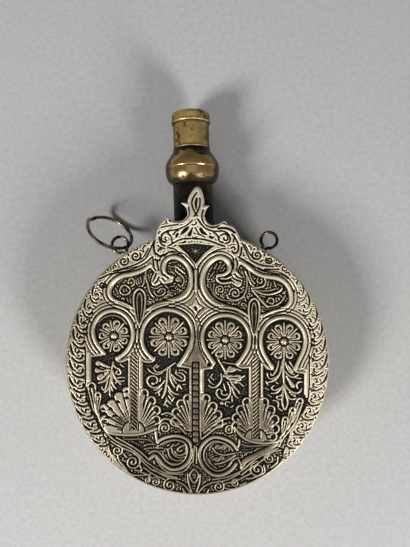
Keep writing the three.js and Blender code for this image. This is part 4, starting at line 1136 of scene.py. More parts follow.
# Shell fans at the feet of the columns. The first has plain fingers with dots; the rest are drawn in lines:
# root, width of a finger, and tips
plainFan = {
    "root": (-29.5, -31), "width": 5.6, "top": 0.95,
    "tips": [(-32.6, -10.2), (-36.7, -12.8), (-40.6, -16.6), (-44.2, -18.8), (-44.4, -24.6), (-43, -28.6)],
    "dots": [(-32.3, -12.6), (-32.2, -15.5), (-36.3, -17.3), (-39.7, -20.5), (-38, -23.7), (-43.2, -20.6),
             (-42.4, -22.6), (-41.2, -24.4), (-42.4, -26), (-40.4, -27.6)],
    "wing": [(-1.0, -0.35), (0, 0.3), (1.0, -0.35)],
}
lineFans = [
    ((-27.4, -31), 4.6, [(-24, -11.2), (-20.2, -14.8), (-17.4, -19.4), (-17, -24.4)]),
    ((-2, -31), 4.6, [(-4.9, -13.6), (-8.5, -16.2), (-11.2, -20.4), (-12.4, -25.4)]),
    ((0.6, -31), 4.6, [(4.2, -13.6), (8, -17.4), (10.7, -21.6), (11.8, -26.4)]),
    ((25.6, -34), 4.7, [(22, -15.2), (18.6, -18.8), (16.2, -22.8), (15.6, -27)]),
    ((28.4, -34), 4.8, [(30.5, -15.2), (34, -18.8), (36.4, -23.4), (37.2, -28.2), (36.4, -32.6)]),
    ((-46.2, -25), 4.4, [(-48.6, -8.2)]),
    ((-46.2, -25), 3.4, [(-45.3, -12.6)]),
    ((42.5, -28), 3.6, [(47.2, -15.4)]),
    ((40.4, -31.4), 3.6, [(43.8, -19.6)]),
    ((38.6, -34), 3.4, [(40.2, -23.8)]),
]
# Half discs the fans stand on: middle, and radius
fanBases = [((-29.2, -31.0), 5.0), ((26.4, -34.6), 5.0)]


def chaseFans():
    chasePlainFan()
    for root, width, tips in lineFans:
        for tip in tips:
            chaseFinger(np.array(root, float), np.array(tip, float), width)
    for (x, y), r in fanBases:
        away = np.hypot(gridU - x, gridV - y)
        above = gridV > y - 0.4
        height[above & (away < r + 0.6)] = ground
        disc = flat - (flat - ground) * smoothStep(r - 0.3, r + 0.1, away)
        height[above] = np.maximum(height, np.where(away < r + 0.1, disc, 0))[above]


def chasePlainFan():
    root, tips = np.array(plainFan["root"], float), np.array(plainFan["tips"], float)

    def ray(end, near, far):
        return [root + near * (end - root), root + far * (end - root)]

    for tip in tips:
        lobe(root + 0.12 * (tip - root), tip, plainFan["width"], plainFan["top"], 0.26)
        groove(ray(tip, 0.25, 0.52), 0.6, 0.85)
    for one, other in zip(tips, tips[1:]):
        groove(ray((one + other) / 2, 0.2, 1.02), 0.85, 0.95)
    for dot in plainFan["dots"]:
        groove(np.array(plainFan["wing"]) + dot, 0.7, 0.95)
        pit(dot, 0.8, 0.95)


# A finger drawn in lines: a loop at its tip, a seed in the loop, and rays down to the root. Shares are of the
# finger's width
finger = {"loopHalf": 120, "seed": (0.75, 0.1, 0.3), "rays": (-0.38, 0.0, 0.38), "closing": 0.3}


def chaseFinger(root, tip, width):
    reach = np.linalg.norm(tip - root)
    ahead = (tip - root) / reach
    across = np.array([-ahead[1], ahead[0]])
    middle = tip - ahead * width / 2
    heading, half = math.degrees(math.atan2(ahead[1], ahead[0])), finger["loopHalf"]
    ridge(around(middle, width / 2 - 0.5, heading - half, heading + half, 11), 1.1, 0.95)
    seedRoot, seedTip, seedWide = finger["seed"]
    lobe(middle - seedRoot * width * ahead, middle - seedTip * width * ahead, seedWide * width, 0.7, 0.5)
    foot = root + 0.12 * reach * ahead
    for wide in finger["rays"]:
        start = middle - ahead * (0.25 if wide else 0.5) * width + across * wide * width
        ridge([start, foot + across * wide * finger["closing"] * width], 0.6, 0.72)


# Dark leaves and roundels at the foot, with their scrolls. Ridges have width and top; tendrils and curls have
# middle, radius, starting angle and hand
lowerLines = {
    "ridges": [
      (1.5, 1.1, (-41, -31.2), (-38, -32), (-34, -32.4), (-28, -32.3), (-22.4, -31), (-19, -29.6)),
      (1.4, 1.1, (16.8, -29), (20, -33), (24, -35.3), (30, -36.2), (35.4, -35.6)),
      (1.6, 1.25, (-19.1, -31), (-18.8, -33.6), (-18.2, -36)),
      (1.3, 1.15, (17.8, -38.8), (18.8, -36.8), (19, -34.8)),
      (3.1, 0.68, (20.3, -47.4), (21.4, -44.6), (26.4, -42), (32, -39.4), (36, -36.4)),
      (1.1, 1.0, (-16.2, -23.1), (-13.8, -22.4), (-11.1, -23.5), (-8, -26.5), (-5, -30.2)),
      (1.2, 1.0, (-17.8, -27.2), (-15.5, -25.2), (-12.1, -25.8), (-8.7, -28.5), (-5.3, -31.9)),
      (1.2, 1.0, (1.8, -34.3), (6.9, -30.2), (10, -28.2), (13, -27.2)),
      (1.1, 1.0, (2.8, -31.6), (7.6, -27.6), (11, -25.6), (14.4, -24.6)),
      (0.75, 0.5, (-34, -34.6), (-30, -34.5), (-26, -34.4), (-22, -35), (-19.6, -37)),
      (1.5, 0.3, (-30, -35.5), (-27, -36.9), (-24.6, -38.2)),
      (0.95, 0.65, (-24.3, -37.4), (-22.6, -36.8), (-20.4, -36.8)),
      (1.0, 0.6, (-24, -38.9), (-22.6, -38.6), (-21.2, -38.4)), (0.9, 0.6, (-23.4, -39.8), (-21.8, -39.8)),
      (1.0, 0.6, (-21.4, -40.8), (-19, -40.1), (-15, -39.8)), (0.9, 0.4, (-22.4, -33.8), (-21.4, -35)),
      (0.95, 0.5, (19.8, -36.8), (23, -37.7), (27, -37.5), (33, -37.1)),
      (0.9, 0.3, (20, -39.2), (22.4, -39.4), (25, -38.8)),
      (1.1, 0.8, (6.9, -38.4), (7.6, -39.6), (9, -40.8), (12, -41.6), (16.7, -40.9)),
      (1.2, 0.8, (17, -41.8), (14, -43.8), (10.6, -45.3), (8, -45.7)),
      (0.9, 0.65, (5, -43.6), (6.4, -46), (8.4, -47.7)), (0.7, 0.45, (4, -40.6), (4.2, -43.4), (5.4, -45.8)),
      (0.7, 0.6, (5.4, -42), (6.7, -41.2)), (0.7, 0.6, (5.8, -43.1), (7.2, -42.1)),
      (0.7, 0.6, (6.7, -44), (7.9, -42.9)),
      (0.75, 0.5, (5.4, -39.6), (5.8, -37.7), (7.6, -36.3), (10, -35.9)),
      (0.7, 0.45, (13.4, -37.6), (14.4, -38.8), (14.2, -39.8)),
      (0.7, 0.5, (11.6, -44), (13.4, -43.2), (14.6, -42.4)),
      (1.0, 0.75, (-5.6, -37.2), (-7.4, -37.6), (-9.2, -39), (-8.6, -40), (-7.2, -39.5)),
      (1.1, 0.8, (-5.2, -38), (-5.4, -40.4), (-7, -41.5), (-9.2, -41.6), (-10.4, -40)),
      (0.9, 0.65, (-11.8, -38.6), (-11, -41.2), (-8.6, -42.9), (-5.6, -42.3)),
      (0.9, 0.65, (-13.6, -39.2), (-12.6, -42.4), (-9.8, -44.2), (-6.8, -43.8)),
      (1.0, 0.65, (-16, -40.6), (-14.6, -43.6), (-12, -45.4), (-8.4, -45.7)),
      (0.75, 0.45, (-16, -37.4), (-13, -35.7), (-10, -35)),
      (0.85, 0.6, (-15, -39), (-12.8, -38.6), (-11, -36.8)), (0.8, 0.5, (-10.4, -37.6), (-8.6, -36.4)),
      (0.8, 0.5, (-14.6, -41.4), (-13.6, -43.4)), (0.8, 0.45, (-16.2, -42.4), (-14.4, -45))],
    "tendrils": [
      ((9.3, -38.2), 1.2, 200, -1), ((11.8, -38.3), 1.2, 20, 1), ((8.9, -43.6), 1.1, 150, 1),
      ((10.9, -43.2), 1.0, 0, 1)],
    "curls": [
      ((-15, -29.3), 2.8, 200, -1), ((14.5, -30.3), 2.5, -20, 1), ((-36.6, -39.6), 2.7, 100, -1),
      ((-29.6, -44.8), 3.7, 80, -1), ((-22.9, -52.9), 1.4, 60, -1), ((-19.2, -53.8), 2.1, 120, -1),
      ((-12.8, -55.4), 3.0, 100, 1), ((27.2, -48.2), 3.7, 90, 1), ((32.6, -43.2), 2.6, 80, 1),
      ((9.6, -56), 2.7, 90, -1), ((17.2, -54.4), 2.0, 60, 1)],
    "lines": [
      [(-46.8, -18), (-45.6, -23), (-43.6, -28), (-40.6, -32.4), (-37, -35.4), (-31, -38.4), (-27, -41.2),
        (-23, -45), (-15, -49.6), (-7, -50.4)], [(-45.1, -22.5), (-44.4, -25.2), (-43, -29), (-41, -32)],
      [(-37, -33.7), (-31, -36.9), (-26.4, -39.9), (-22.4, -43.6)],
      [(-40.2, -34.8), (-35, -38), (-28.6, -40.9), (-24.4, -45.2), (-20.4, -48.4), (-14.2, -50.7),
        (-9.6, -51.8)],
      [(-22.1, -43.9), (-19.7, -42.4), (-18.1, -44.7), (-15.7, -47.9), (-12.1, -49.6), (-6.2, -48.9),
        (-2.7, -44.6)], [(47.4, -19), (44.8, -26), (42.2, -30), (39, -34), (37, -37.8)],
      [(46, -18.4), (43.2, -25.6), (40.6, -29.6), (37.6, -33.6)],
      [(36.4, -38.6), (31, -40.8), (25, -44.4), (20.4, -48.4), (14, -51.4), (7, -52.8)],
      [(37.8, -39.4), (33.4, -40.6), (28.6, -44.6), (23.4, -48), (20, -50.6)],
      [(18.6, -43.6), (19.8, -46.2), (20, -48)], [(13.8, -46.6), (16.4, -43.6), (18.4, -42.8)],
      [(19, -50), (13, -53), (6.4, -54.2)], [(-20, -48.2), (-14, -51.6), (-8, -52.6)],
      [(24, -50), (18, -53), (12, -54.8)], [(-24.4, -47.4), (-20, -50.4), (-15.4, -52.6)],
      [(-26, -49.4), (-23.4, -50.2), (-20.6, -52.2)], [(-4.6, -50), (-4.2, -54), (-2.8, -58.4)],
      [(1.2, -50.4), (0.8, -54.4), (-0.6, -58.4)], [(-9.4, -53.6), (-6, -55.4), (-3.4, -58.6)],
      [(6, -54.4), (2.8, -56), (0.2, -58.8)],
      [(-1.6, -47.7), (-3.6, -50.6), (-1.6, -54.3), (0.4, -50.6), (-1.6, -47.7)],
      [(-2.2, -45), (-1.8, -41), (-1.4, -37.4)], [(-0.6, -45.4), (-0.4, -41.4), (-0.6, -38)],
      [(-36.5, -42), (-35.5, -44.5), (-33.5, -46.8), (-32, -49)],
      [(-42.3, -32), (-41, -36), (-40, -40), (-37, -44.3), (-33, -48.3), (-30, -50.5), (-26, -50.9),
        (-21.6, -50.4)], [(-33.6, -41), (-32.4, -42.6)], [(-28.4, -48.6), (-25.6, -48.6), (-26.4, -46)],
      [(-38.6, -41.4), (-37.2, -43.2)], [(22.4, -52.4), (24.6, -52.2), (28.6, -50.6)],
      [(36.6, -42.4), (36.2, -45), (33.4, -47.4)], [(30.2, -46.4), (30.6, -49), (29.4, -50.4)],
      [(12.6, -56.6), (15.6, -57.4)], [(19.4, -55.4), (22, -54.2)], [(-16, -57.4), (-15, -58.2)],
      [(-6.8, -57), (-6, -58.6)], [(5, -57.2), (4.4, -58.8)]],
}


def chaseLower():
    for path in lowerLines["lines"]:
        ridge(path, 0.95, 0.85)
    for at, r, start, hand in lowerLines["curls"]:
        tendril(at, r, start, 1.15 + 0.2 * r, hand, 0.85, 0.8)
    for width, top, *path in lowerLines["ridges"]:
        ridge(path, width, top)
    for at, r, start, hand in lowerLines["tendrils"]:
        tendril(at, r, start, 1.4, hand)


# Flowers, buds and tendrils in the two cartouches, in the same form
upper = {
    "plates": [
      [(-19.4, 41.6), (-21, 38.5), (-21, 36.3), (-19.6, 35.2), (-17.8, 36), (-16.4, 37), (-15.6, 36.2),
        (-13, 36.6), (-11.4, 37.4), (-11.2, 39.2), (-12.6, 40.6), (-15, 39.8), (-16.4, 40.8), (-17.2, 42.4)],
      [(15.6, 39.9), (16.6, 42.2), (17.9, 42), (20.2, 39.2), (20.4, 38), (19.8, 35.7), (18.3, 34.8),
        (16.8, 35.7), (15.5, 36.9)]],
    "slits": [
      (0.9, (-18.8, 41.2), (-19.9, 38.5), (-20.3, 37.6)), (1.0, (-17.6, 39.4), (-18.4, 37.8), (-19.3, 36.9)),
      (0.8, (-16.2, 39), (-14.8, 37.7)), (0.95, (-15, 40.4), (-13.3, 38.9)),
      (0.6, (-17.2, 38), (-16.6, 36.8)), (0.9, (16.8, 40.9), (18.3, 39.3), (20.2, 38.5)),
      (0.95, (15.6, 39.7), (16.8, 38.4), (19.7, 37.4)), (0.75, (15.2, 38.1), (16.9, 36.7))],
    "ridges": [
      (0.85, 0.6, (-13.2, 44.5), (-11.4, 43.9), (-9.9, 44.7)),
      (1.15, 0.85, (-9.9, 44.1), (-8.1, 42.8), (-5.9, 41)),
      (0.9, 0.7, (-10.1, 43.6), (-9.9, 42.1), (-7.4, 40), (-6.3, 38.5), (-6.3, 36.8), (-7.1, 35.3)),
      (0.8, 0.55, (-9, 39.8), (-7.8, 38.7), (-7.6, 37.2)), (0.9, 0.55, (-8.9, 36.2), (-7.8, 34.8)),
      (0.9, 0.55, (-14.9, 35.7), (-13.6, 34.4)), (0.9, 0.5, (-12.4, 35), (-10.6, 35.4)),
      (0.8, 0.45, (-12, 33.4), (-10, 33)), (0.8, 0.5, (-11.8, 46), (-9.6, 46.2)),
      (0.9, 0.65, (-19.9, 33.2), (-19.5, 31.8), (-18.1, 30.8), (-16.3, 31.1), (-14.9, 32.5), (-15.2, 33.9),
        (-17, 33.9), (-18, 32.6)),
      (1.1, 0.75, (-23.6, 42), (-23.6, 38.9), (-22.7, 36.1), (-22, 33.2), (-20.9, 31.1), (-20, 30.2)),
      (1.0, 0.7, (-24.2, 39.8), (-24.5, 36.8), (-25.3, 35.2)), (0.85, 0.65, (-28.1, 38.2), (-27.7, 36.1)),
      (0.85, 0.65, (-27.2, 38.8), (-26.6, 36.4)), (0.85, 0.65, (-26.1, 39.4), (-25.6, 37.1)),
      (1.0, 0.7, (-31.6, 36.6), (-31.3, 38.2), (-29.8, 38.8), (-28.9, 37.8), (-29, 36.1), (-30.2, 35.2)),
      (1.05, 0.7, (-35.5, 33.2), (-34.8, 35), (-33, 35.7), (-31.3, 34.6), (-30.7, 33.2), (-32, 31.6),
        (-34.1, 31.4), (-35.4, 32.6)), (0.9, 0.6, (-33.8, 34), (-33.6, 32.8)),
      (0.8, 0.6, (-32.6, 34), (-32.4, 33)), (0.9, 0.55, (-37.4, 34.4), (-36.2, 31.6)),
      (0.9, 0.55, (-30.7, 29.8), (-30.5, 27.5)), (0.85, 0.5, (-32.2, 29.8), (-31.6, 28)),
      (0.8, 0.5, (-34.2, 38.4), (-36.4, 36.6)),
      (1.3, 1.05, (15.1, 44.5), (14.7, 42.2), (12.6, 40.9), (9.5, 39.9), (8.6, 38.8), (9.5, 37.3),
        (11.5, 36.5), (14.9, 36.9)), (1.0, 0.95, (10.6, 38.7), (13, 38.6), (15.4, 39.6)),
      (0.8, 0.55, (7.6, 43.2), (8.8, 45.4)), (0.8, 0.55, (9.4, 43), (10.4, 45)),
      (0.8, 0.55, (10.7, 43.4), (12.3, 45.4)), (0.8, 0.55, (6, 39.8), (7.7, 41.9)),
      (0.75, 0.5, (5.4, 42), (6.6, 44)),
      (0.85, 0.6, (7.5, 36.5), (7.2, 32.7), (9.2, 29.9), (11.8, 28.9), (15.3, 28.5), (18.3, 28.6)),
      (1.0, 0.75, (13.3, 31.4), (14.1, 29.7), (16.8, 28.9), (20.2, 30), (22.1, 33.4), (22.5, 36.5),
        (22.4, 39.5)), (0.8, 0.5, (18.3, 27.1), (19.6, 28.4)),
      (0.7, 0.45, (5.6, 37.3), (6.3, 33.2), (8.4, 29.5)), (0.9, 0.6, (21.3, 30.4), (21.9, 28.4)),
      (1.1, 0.8, (21.6, 42), (22.9, 39.2), (24.4, 36.1), (25.4, 35.3)),
      (0.85, 0.6, (23.2, 42.4), (24.4, 38.6), (26, 36.4)),
      (1.15, 0.8, (24.6, 34.3), (27.9, 34.6), (30.2, 35.4), (31, 37.4), (30.5, 38.6)),
      (0.9, 0.65, (27.5, 38.9), (27.1, 37.6), (28.2, 36.5), (29.4, 37.3), (29, 38.4)),
      (0.9, 0.65, (32.3, 37.5), (31.9, 35.6)), (0.85, 0.6, (33.5, 36.8), (33, 34.4)),
      (0.8, 0.6, (25, 33.9), (29, 33.1), (32.6, 33.2), (35.4, 34)),
      (1.3, 0.85, (26, 33.4), (29, 31.9), (32.4, 31.4), (35.9, 32.2), (37.8, 33.3), (38.4, 34.2)),
      (0.9, 0.6, (34.8, 37.3), (35.6, 35)), (0.9, 0.55, (36.6, 36), (38.4, 35.2)),
      (1.25, 0.8, (24.8, 33.4), (27.5, 30.4), (29.8, 27.7), (31.8, 25.7)),
      (1.0, 0.7, (31.3, 25.9), (34.4, 26.2), (37, 27.3), (38.9, 29.2), (39.8, 30.9)),
      (0.7, 0.45, (30.9, 24.5), (34.4, 25), (37.4, 26.2)),
      (1.0, 0.7, (31.7, 28), (32.4, 29.6), (34, 29.7), (34.8, 28.5), (34, 27.2), (32.9, 27.6)),
      (0.9, 0.6, (35.7, 29.9), (36, 28.2)), (0.9, 0.55, (37.4, 31.3), (38.6, 30)),
      (0.8, 0.5, (28.4, 31), (30.6, 30.2)), (0.8, 0.5, (29.6, 29.2), (30.8, 27.4))],
    "tendrils": [((10.2, 33.6), 2.3, 250, -1), ((17, 32), 2.7, 190, -1), ((-9, 38.2), 0.9, 60, 1)],
    "spears": [
      {"x": -26.5, "tip": 34.0, "foot": 18.0, "wide": 5.4},
      {"x": 25.7, "tip": 29.6, "foot": 13.2, "wide": 5.0}],
    "stems": [
      [(-20.4, 48.6), (-20.2, 46.4), (-19.9, 44.2), (-19.2, 42.5)],
      [(-18.4, 46.4), (-17.9, 43.6), (-17.4, 40.9)], [(16, 48), (16.4, 45.3), (16.2, 43.2)],
      [(17.4, 48), (18.1, 45.7), (17.7, 42.8)], [(15.2, 47.4), (15.5, 44.4)],
      [(-19, 56.9), (-20.6, 54.2), (-22.5, 50), (-24, 47.8), (-26.2, 46.2), (-29, 44.8), (-33, 43.5),
        (-38.5, 42)],
      [(-21, 48.4), (-24, 45.8), (-28, 43.6), (-32, 42.2), (-36, 41.4), (-40, 40.7), (-44.6, 38.7)],
      [(-22.4, 52.6), (-24.6, 48.6), (-27.4, 46.9)],
      [(20.2, 55), (22.2, 51), (24, 47.4), (26.6, 45.8), (30, 44.6), (34.4, 44.2)],
      [(18.4, 48.6), (22, 46.6), (25, 44.8), (29, 42.4), (34, 41.2), (38.4, 40.4), (41.2, 38.8)],
      [(21.4, 54.4), (23.4, 50.6), (25.4, 47.6)], [(30.4, 43), (34, 42.9), (37, 43)]],
}


def chaseUpper():
    for path in upper["stems"]:
        groove(path, 0.95)
    for outline in upper["plates"]:
        plate(outline, 0.95)
    for width, *path in upper["slits"]:
        groove(path, width, 0.95)
    for width, top, *path in upper["ridges"]:
        ridge(path, 0.9 * width, 0.88 * top)
    for at, r, start, hand in upper["tendrils"]:
        tendril(at, r, start, 1.5, hand)
    for spear in upper["spears"]:
        chaseSpear(**spear)


# Pointed head between two arches: rim, dark line, then a dull lens with its own fine rim. Half is the right
# side, in shares of the half width and of the height
spearShape = {
    "half": [(0.0, 0.0), (0.55, 0.05), (0.9, 0.15), (1.0, 0.3), (0.92, 0.52), (0.6, 0.8), (0.2, 1.0)],
    "fieldWide": 1.25, "fieldUp": 0.8, "lensWide": 0.42, "lensTall": 0.84, "lensDown": 1.9, "lensTop": 0.34,
}


def chaseSpear(x, tip, foot, wide):
    s, drop = spearShape, tip - foot
    right = [(x + wide / 2 * a, tip - drop * b) for a, b in s["half"]]
    outline = right[::-1] + [(2 * x - a, b) for a, b in right[1:]]
    field([(x + s["fieldWide"] * (a - x), b + s["fieldUp"]) for a, b in outline])
    ridge(outline, 0.95, 1.15)
    lensTip = tip - s["lensDown"]
    lens = [(x + s["lensWide"] * (a - x), lensTip - s["lensTall"] * (tip - b)) for a, b in outline]
    plate(lens, s["lensTop"])
    ridge(lens, 0.55, 0.62)


# Running scroll of the border. A stroke's points go outward, then up along the rim, from the middle of its
# scroll; each scroll has its middle and scale, each curl its middle and radius
border = {
    "right": [
      ([(-1.0, 1.2), (-0.2, 1.5), (0.7, 1.2), (0.9, 0.5), (0.6, 0.1)], 1.25, "wedge"),
      ([(-0.5, -1.0), (-0.7, -1.7), (-0.2, -2.3), (0.7, -2.5), (1.7, -2.2)], 1.3, "tail"),
      ([(-1.6, -3.3), (-0.9, -3.9), (0.7, -3.9), (2.2, -3.2), (3.5, -2.2)], 0.85, "even"),
      ([(5.3, 6.6), (5.1, 4.7), (4.5, 2.1), (3.5, 0.3), (2.2, -0.8), (0.9, -1.1)], 1.25, "leaf"),
      ([(-1.9, 4.2), (-0.5, 3.3), (-1.5, 2.3)], 0.65, "even"), ([(2.0, 1.9), (2.8, 0.5)], 0.65, "even")],
    "left": [
      ([(1.0, 0.7), (0.5, 1.6), (-0.5, 1.2), (-1.5, 1.1)], 1.15, "tail"),
      ([(-1.4, -0.4), (-1.2, -1.1), (-0.5, -1.9), (1.7, -1.6)], 1.35, "tail"),
      ([(3.3, -1.6), (2.3, -2.7), (0.5, -3.7), (-1.2, -3.6), (-2.4, -2.8)], 0.85, "even"),
      ([(4.5, 4.6), (4.1, 2.3), (3.1, 0.2), (1.6, -0.8)], 1.15, "leaf"),
      ([(2.2, 2.6), (2.0, 1.2)], 0.75, "even"), ([(-2.2, 2.4), (-1.3, 3.0), (-0.4, 3.0)], 0.65, "even")],
    "scrolls": [
      (-46.0, 30.6, 0.8), (-49.0, 24.2, 0.9), (-51.6, 17.4, 1), (-53.1, 10.8, 1), (-53.7, 4.2, 1),
      (-53.7, -2.5, 1), (-53.4, -9.4, 1), (-52.2, -15.8, 1), (-49.8, -22.2, 1), (-46.8, -28.4, 1),
      (-43.2, -34.4, 0.9), (40.9, -40.6, 0.7), (43.2, -35.0, 0.9), (46.8, -28.6, 1), (50.3, -21.8, 1),
      (52.6, -15.2, 1), (53.4, -8.3, 1), (53.5, -1.4, 1), (53.5, 5.4, 1), (52.7, 12.3, 1), (50.9, 19, 1),
      (48.2, 25.4, 0.9), (46.0, 31.4, 0.8)],
    "curls": [(-28.2, 49, 2.4), (-33.6, 46.6, 2.2), (-43.4, 35.8, 1.7), (27.1, 49.4, 2.3), (32.6, 47, 1.7)],
}
borderCut = {
    "rightWiden": 0.95, "leftWiden": 1.2, "depth": 0.8, "curlFrom": 85, "curlTurns": 1.45, "curlWidth": 1.05,
}


def chaseBorder():
    for x, y, scale in border["scrolls"]:
        hand = 1 if x > 0 else -1
        out = np.array([x, y]) / math.hypot(x, y)
        up = hand * np.array([-out[1], out[0]])
        side = "right" if hand > 0 else "left"
        for stroke, width, shape in border[side]:
            width *= borderCut[side + "Widen"] * scale
            groove([(x, y) + scale * (out * a + up * b) for a, b in stroke], width, borderCut["depth"], shape)
    for x, y, r in border["curls"]:
        hand = 1 if x > 0 else -1
        start = math.degrees(math.atan2(y, x)) + borderCut["curlFrom"] * hand
        path = spiral((x, y), r, start, borderCut["curlTurns"], hand)
        groove(path, borderCut["curlWidth"], smooth=False)


# Scrolls fill the bare ground of the fields, raised, and the bare metal of border and crest, cut
filling = {
    "full": ["leftCartouche", "rightCartouche", "foot"],
    "raised": {"seed": 4, "spacing": 2.5, "pitch": 1.05},
    "cut": {"seed": 6, "spacing": 3.6, "pitch": 1.55},
    "fullTop": 0.56,
    "faintTop": 0.25,
    "bareBelow": 0.18,     # ground lower than this is bare
    "raisedClear": 0.45,   # distance kept from other work
    "bareMetal": (0.72, 0.88),
    "cutClear": 0.5,
    "cutDepth": 0.72,
    "border": (46.5, 59.4),
    "crest": (49, 66),
}


def between(x, low, high):
    return (x > low) & (x < high)


def chaseBare():
    paths = [spline(fields[name], True) for name in filling["full"]]
    full = sum(insideOf(path, gridU, gridV) for path in paths) > 0
    lines = smoothStep(0.4, 0.8, scrollPattern(**filling["raised"]))
    bare = clearOf(height > filling["bareBelow"], filling["raisedClear"])
    top = np.where(full, filling["fullTop"], filling["faintTop"])
    height[bare] = np.maximum(height, ground + top * lines)[bare]
    cuts = smoothStep(0.45, 0.8, scrollPattern(**filling["cut"]))
    low, high = filling["bareMetal"]
    bare = clearOf((height < low) | (height > high), filling["cutClear"])
    bare &= between(np.hypot(gridU, gridV), *filling["border"]) | between(gridV, *filling["crest"])
    height[bare] = (height - filling["cutDepth"] * cuts)[bare]


# Distance in from the edge rounds the rim over; hand work leaves the sheet a little uneven. Spans run from
# none to all of an effect
relief = {
    "rimTop": 0.72, "rimSpan": (0.45, 0.85), "roundSpan": (0.0, 1.15), "roundPower": 1.5, "roundExtra": 0.05,
    "blurs": 9, "crisp": 1.1, "fullBright": 1.4,
    # Polish and painted highlight: the crest and finial from the first height up, and a painted highlight on
    # the right rim
    "polishAndSheenUp": (40, 62), "rimSheenRadius": (45, 50), "rimSheenRight": (20, 46), "rimSheenShare": 0.58,
    "polishAndSheenTop": (0.5, 0.75), "polishAndSheenBright": 0.3,
    "seed": 11, "grain": 0.06, "grainDark": (0.2, 0.5),
}


def finishRelief(outline):
    r = relief
    area, away, _, _ = measure(np.vstack([outline, outline[:1]]), 1.5)
    height[area] = np.maximum(height[area], r["rimTop"] * (1 - smoothStep(*r["rimSpan"], away)))
    fall = np.zeros(height.shape)
    fall[area] = (flat + r["roundExtra"]) * (1 - smoothStep(*r["roundSpan"], away)) ** r["roundPower"]
    smoothed = height.copy()
    for _ in range(r["blurs"]):
        for axis in (0, 1):
            smoothed = (np.roll(smoothed, 1, axis) + 2 * smoothed + np.roll(smoothed, -1, axis)) / 4
    # Painted highlight on the right rim, and polish with painted highlight on the crest and finial, on the
    # raised work only; it also brightens the silver tone
    rightRimSheen = smoothStep(*r["rimSheenRadius"], np.hypot(gridU, gridV)) * smoothStep(*r["rimSheenRight"], gridU)
    polishAndSheen = np.maximum(smoothStep(*r["polishAndSheenUp"], gridV), r["rimSheenShare"] * rightRimSheen)
    polishAndSheen = polishAndSheen * smoothStep(*r["polishAndSheenTop"], height)
    bright = (height + r["crisp"] * (height - smoothed)) / r["fullBright"] + r["polishAndSheenBright"] * polishAndSheen
    bright = np.clip(bright, 0, 1)
    grain = np.random.default_rng(r["seed"]).normal(0, 1, height.shape)
    grain = (grain + np.roll(grain, 1, 0) + np.roll(grain, 1, 1) + np.roll(grain, (1, 1), (0, 1))) / 4
    uneven = 0.05 * np.sin(0.21 * gridU + 0.6) * np.sin(0.17 * gridV)
    uneven += 0.04 * np.sin(0.33 * gridU - 0.27 * gridV + 1.1)
    rough = r["grain"] * np.abs(grain) * (1 - smoothStep(*r["grainDark"], bright))
    height[:] = height + rough - fall + uneven
    return bright, polishAndSheen


# Where the silver is worn through to brown: middle, radius, strength
wornPlaces = [
    ((-1, -30), 12, 0.75), ((0, -47), 17, 0.72), ((-1, 6), 4, 0.8), ((-1, 0), 4, 0.85), ((-1, -7), 3.4, 0.88),
    ((-1, -14), 3.4, 0.88), ((-1, -22), 6, 0.88), ((-26, 22), 5, 0.4), ((14, -50), 14, 0.6),
    ((-20, -46), 13, 0.6), ((26, 16), 5, 0.35), ((-49, -2), 8, 0.4), ((-16, 1), 5, 0.4),
    ((-32, -24), 13, 0.42), ((24, -26), 14, 0.55), ((0, -58), 20, 0.62), ((-52, 16), 12, 0.4),
    ((-48, -24), 10, 0.3), ((28, -41.4), 8, 0.6), ((8, -12), 8, 0.3), ((-0.6, 13), 4.5, 0.72),
    ((-14, 14), 15, 0.2), ((13, 12), 15, 0.25), ((-38, 13), 12, 0.15), ((40, 10), 11, 0.12),
]


def brownTint():
    tint = np.zeros(gridU.shape)
    for (x, y), r, amount in wornPlaces:
        tint = np.maximum(tint, amount * np.exp(-((gridU - x) ** 2 + (gridV - y) ** 2) / r**2))
    return tint


def bendDown(v):
    past = v - plaque["bendLine"]
    soft = plaque["bendSoft"]
    down = np.where(past < soft, np.clip(past + soft, 0, None) ** 2 / (4 * soft), past)
    return down * tipDrop / tipReach


# Cells whose middle is inside the outline, with their outer corners pulled onto it: the grid's spots that
# they use, the places of these and the corners of each cell
def cutOut(outline):
    middles = insideOf(outline, gridU[:-1, :-1] + cell / 2, gridV[:-1, :-1] + cell / 2)
    rows, cols = np.nonzero(middles)
    width = gridU.shape[1]
    first = rows * width + cols
    quads = np.stack([first, first + 1, first + 1 + width, first + width], 1)
    used, index = np.unique(quads, return_inverse=True)
    quads = index.reshape(-1, 4)
    u, v = gridU.ravel()[used], gridV.ravel()[used]
    count = np.bincount(quads.ravel(), minlength=len(used))
    loop = np.vstack([outline, outline[:1]])
    a, ab = loop[:-1], loop[1:] - loop[:-1]
    for i in np.nonzero(count < 4)[0]:
        t = np.clip((([u[i], v[i]] - a) * ab).sum(1) / (ab**2).sum(1).clip(1e-9), 0, 1)
        near = a + t[:, None] * ab
        u[i], v[i] = near[np.argmin(((near - [u[i], v[i]]) ** 2).sum(1))]
    return used, u, v, quads


def makePlaque():
    outline = plaqueOutline()
    for stage in (chaseCrest, chaseFields, chaseFrames, chaseArcade, chaseSprays, chaseFans, chaseColumns,
                  chaseLower, chaseUpper, chaseBorder, chaseBare):
        stage()
    bright, polishAndSheen = finishRelief(outline)
    used, u, v, quads = cutOut(outline)
    z = sheetFace + height.ravel()[used] - bendDown(v)
    scale, turn = drumRadius / plaque["drawnRadius"], math.radians(plaque["turn"])
    x = scale * (u * math.cos(turn) - v * math.sin(turn))
    y = scale * (u * math.sin(turn) + v * math.cos(turn))
    mesh = newMesh("chased_sheet", np.c_[x, y, z], quads.tolist(), silver)
    piece = bpy.data.objects.new("chased_sheet", mesh)
    # The third layer is polish with painted highlight
    for name, values in (("silver", bright), ("brown", brownTint()), ("polishAndSheen", polishAndSheen)):
        layer = mesh.attributes.new(name, "FLOAT", "POINT")
        layer.data.foreach_set("value", values.ravel()[used].astype(np.float32))
    foldEdge(piece)
    partSheet(piece)


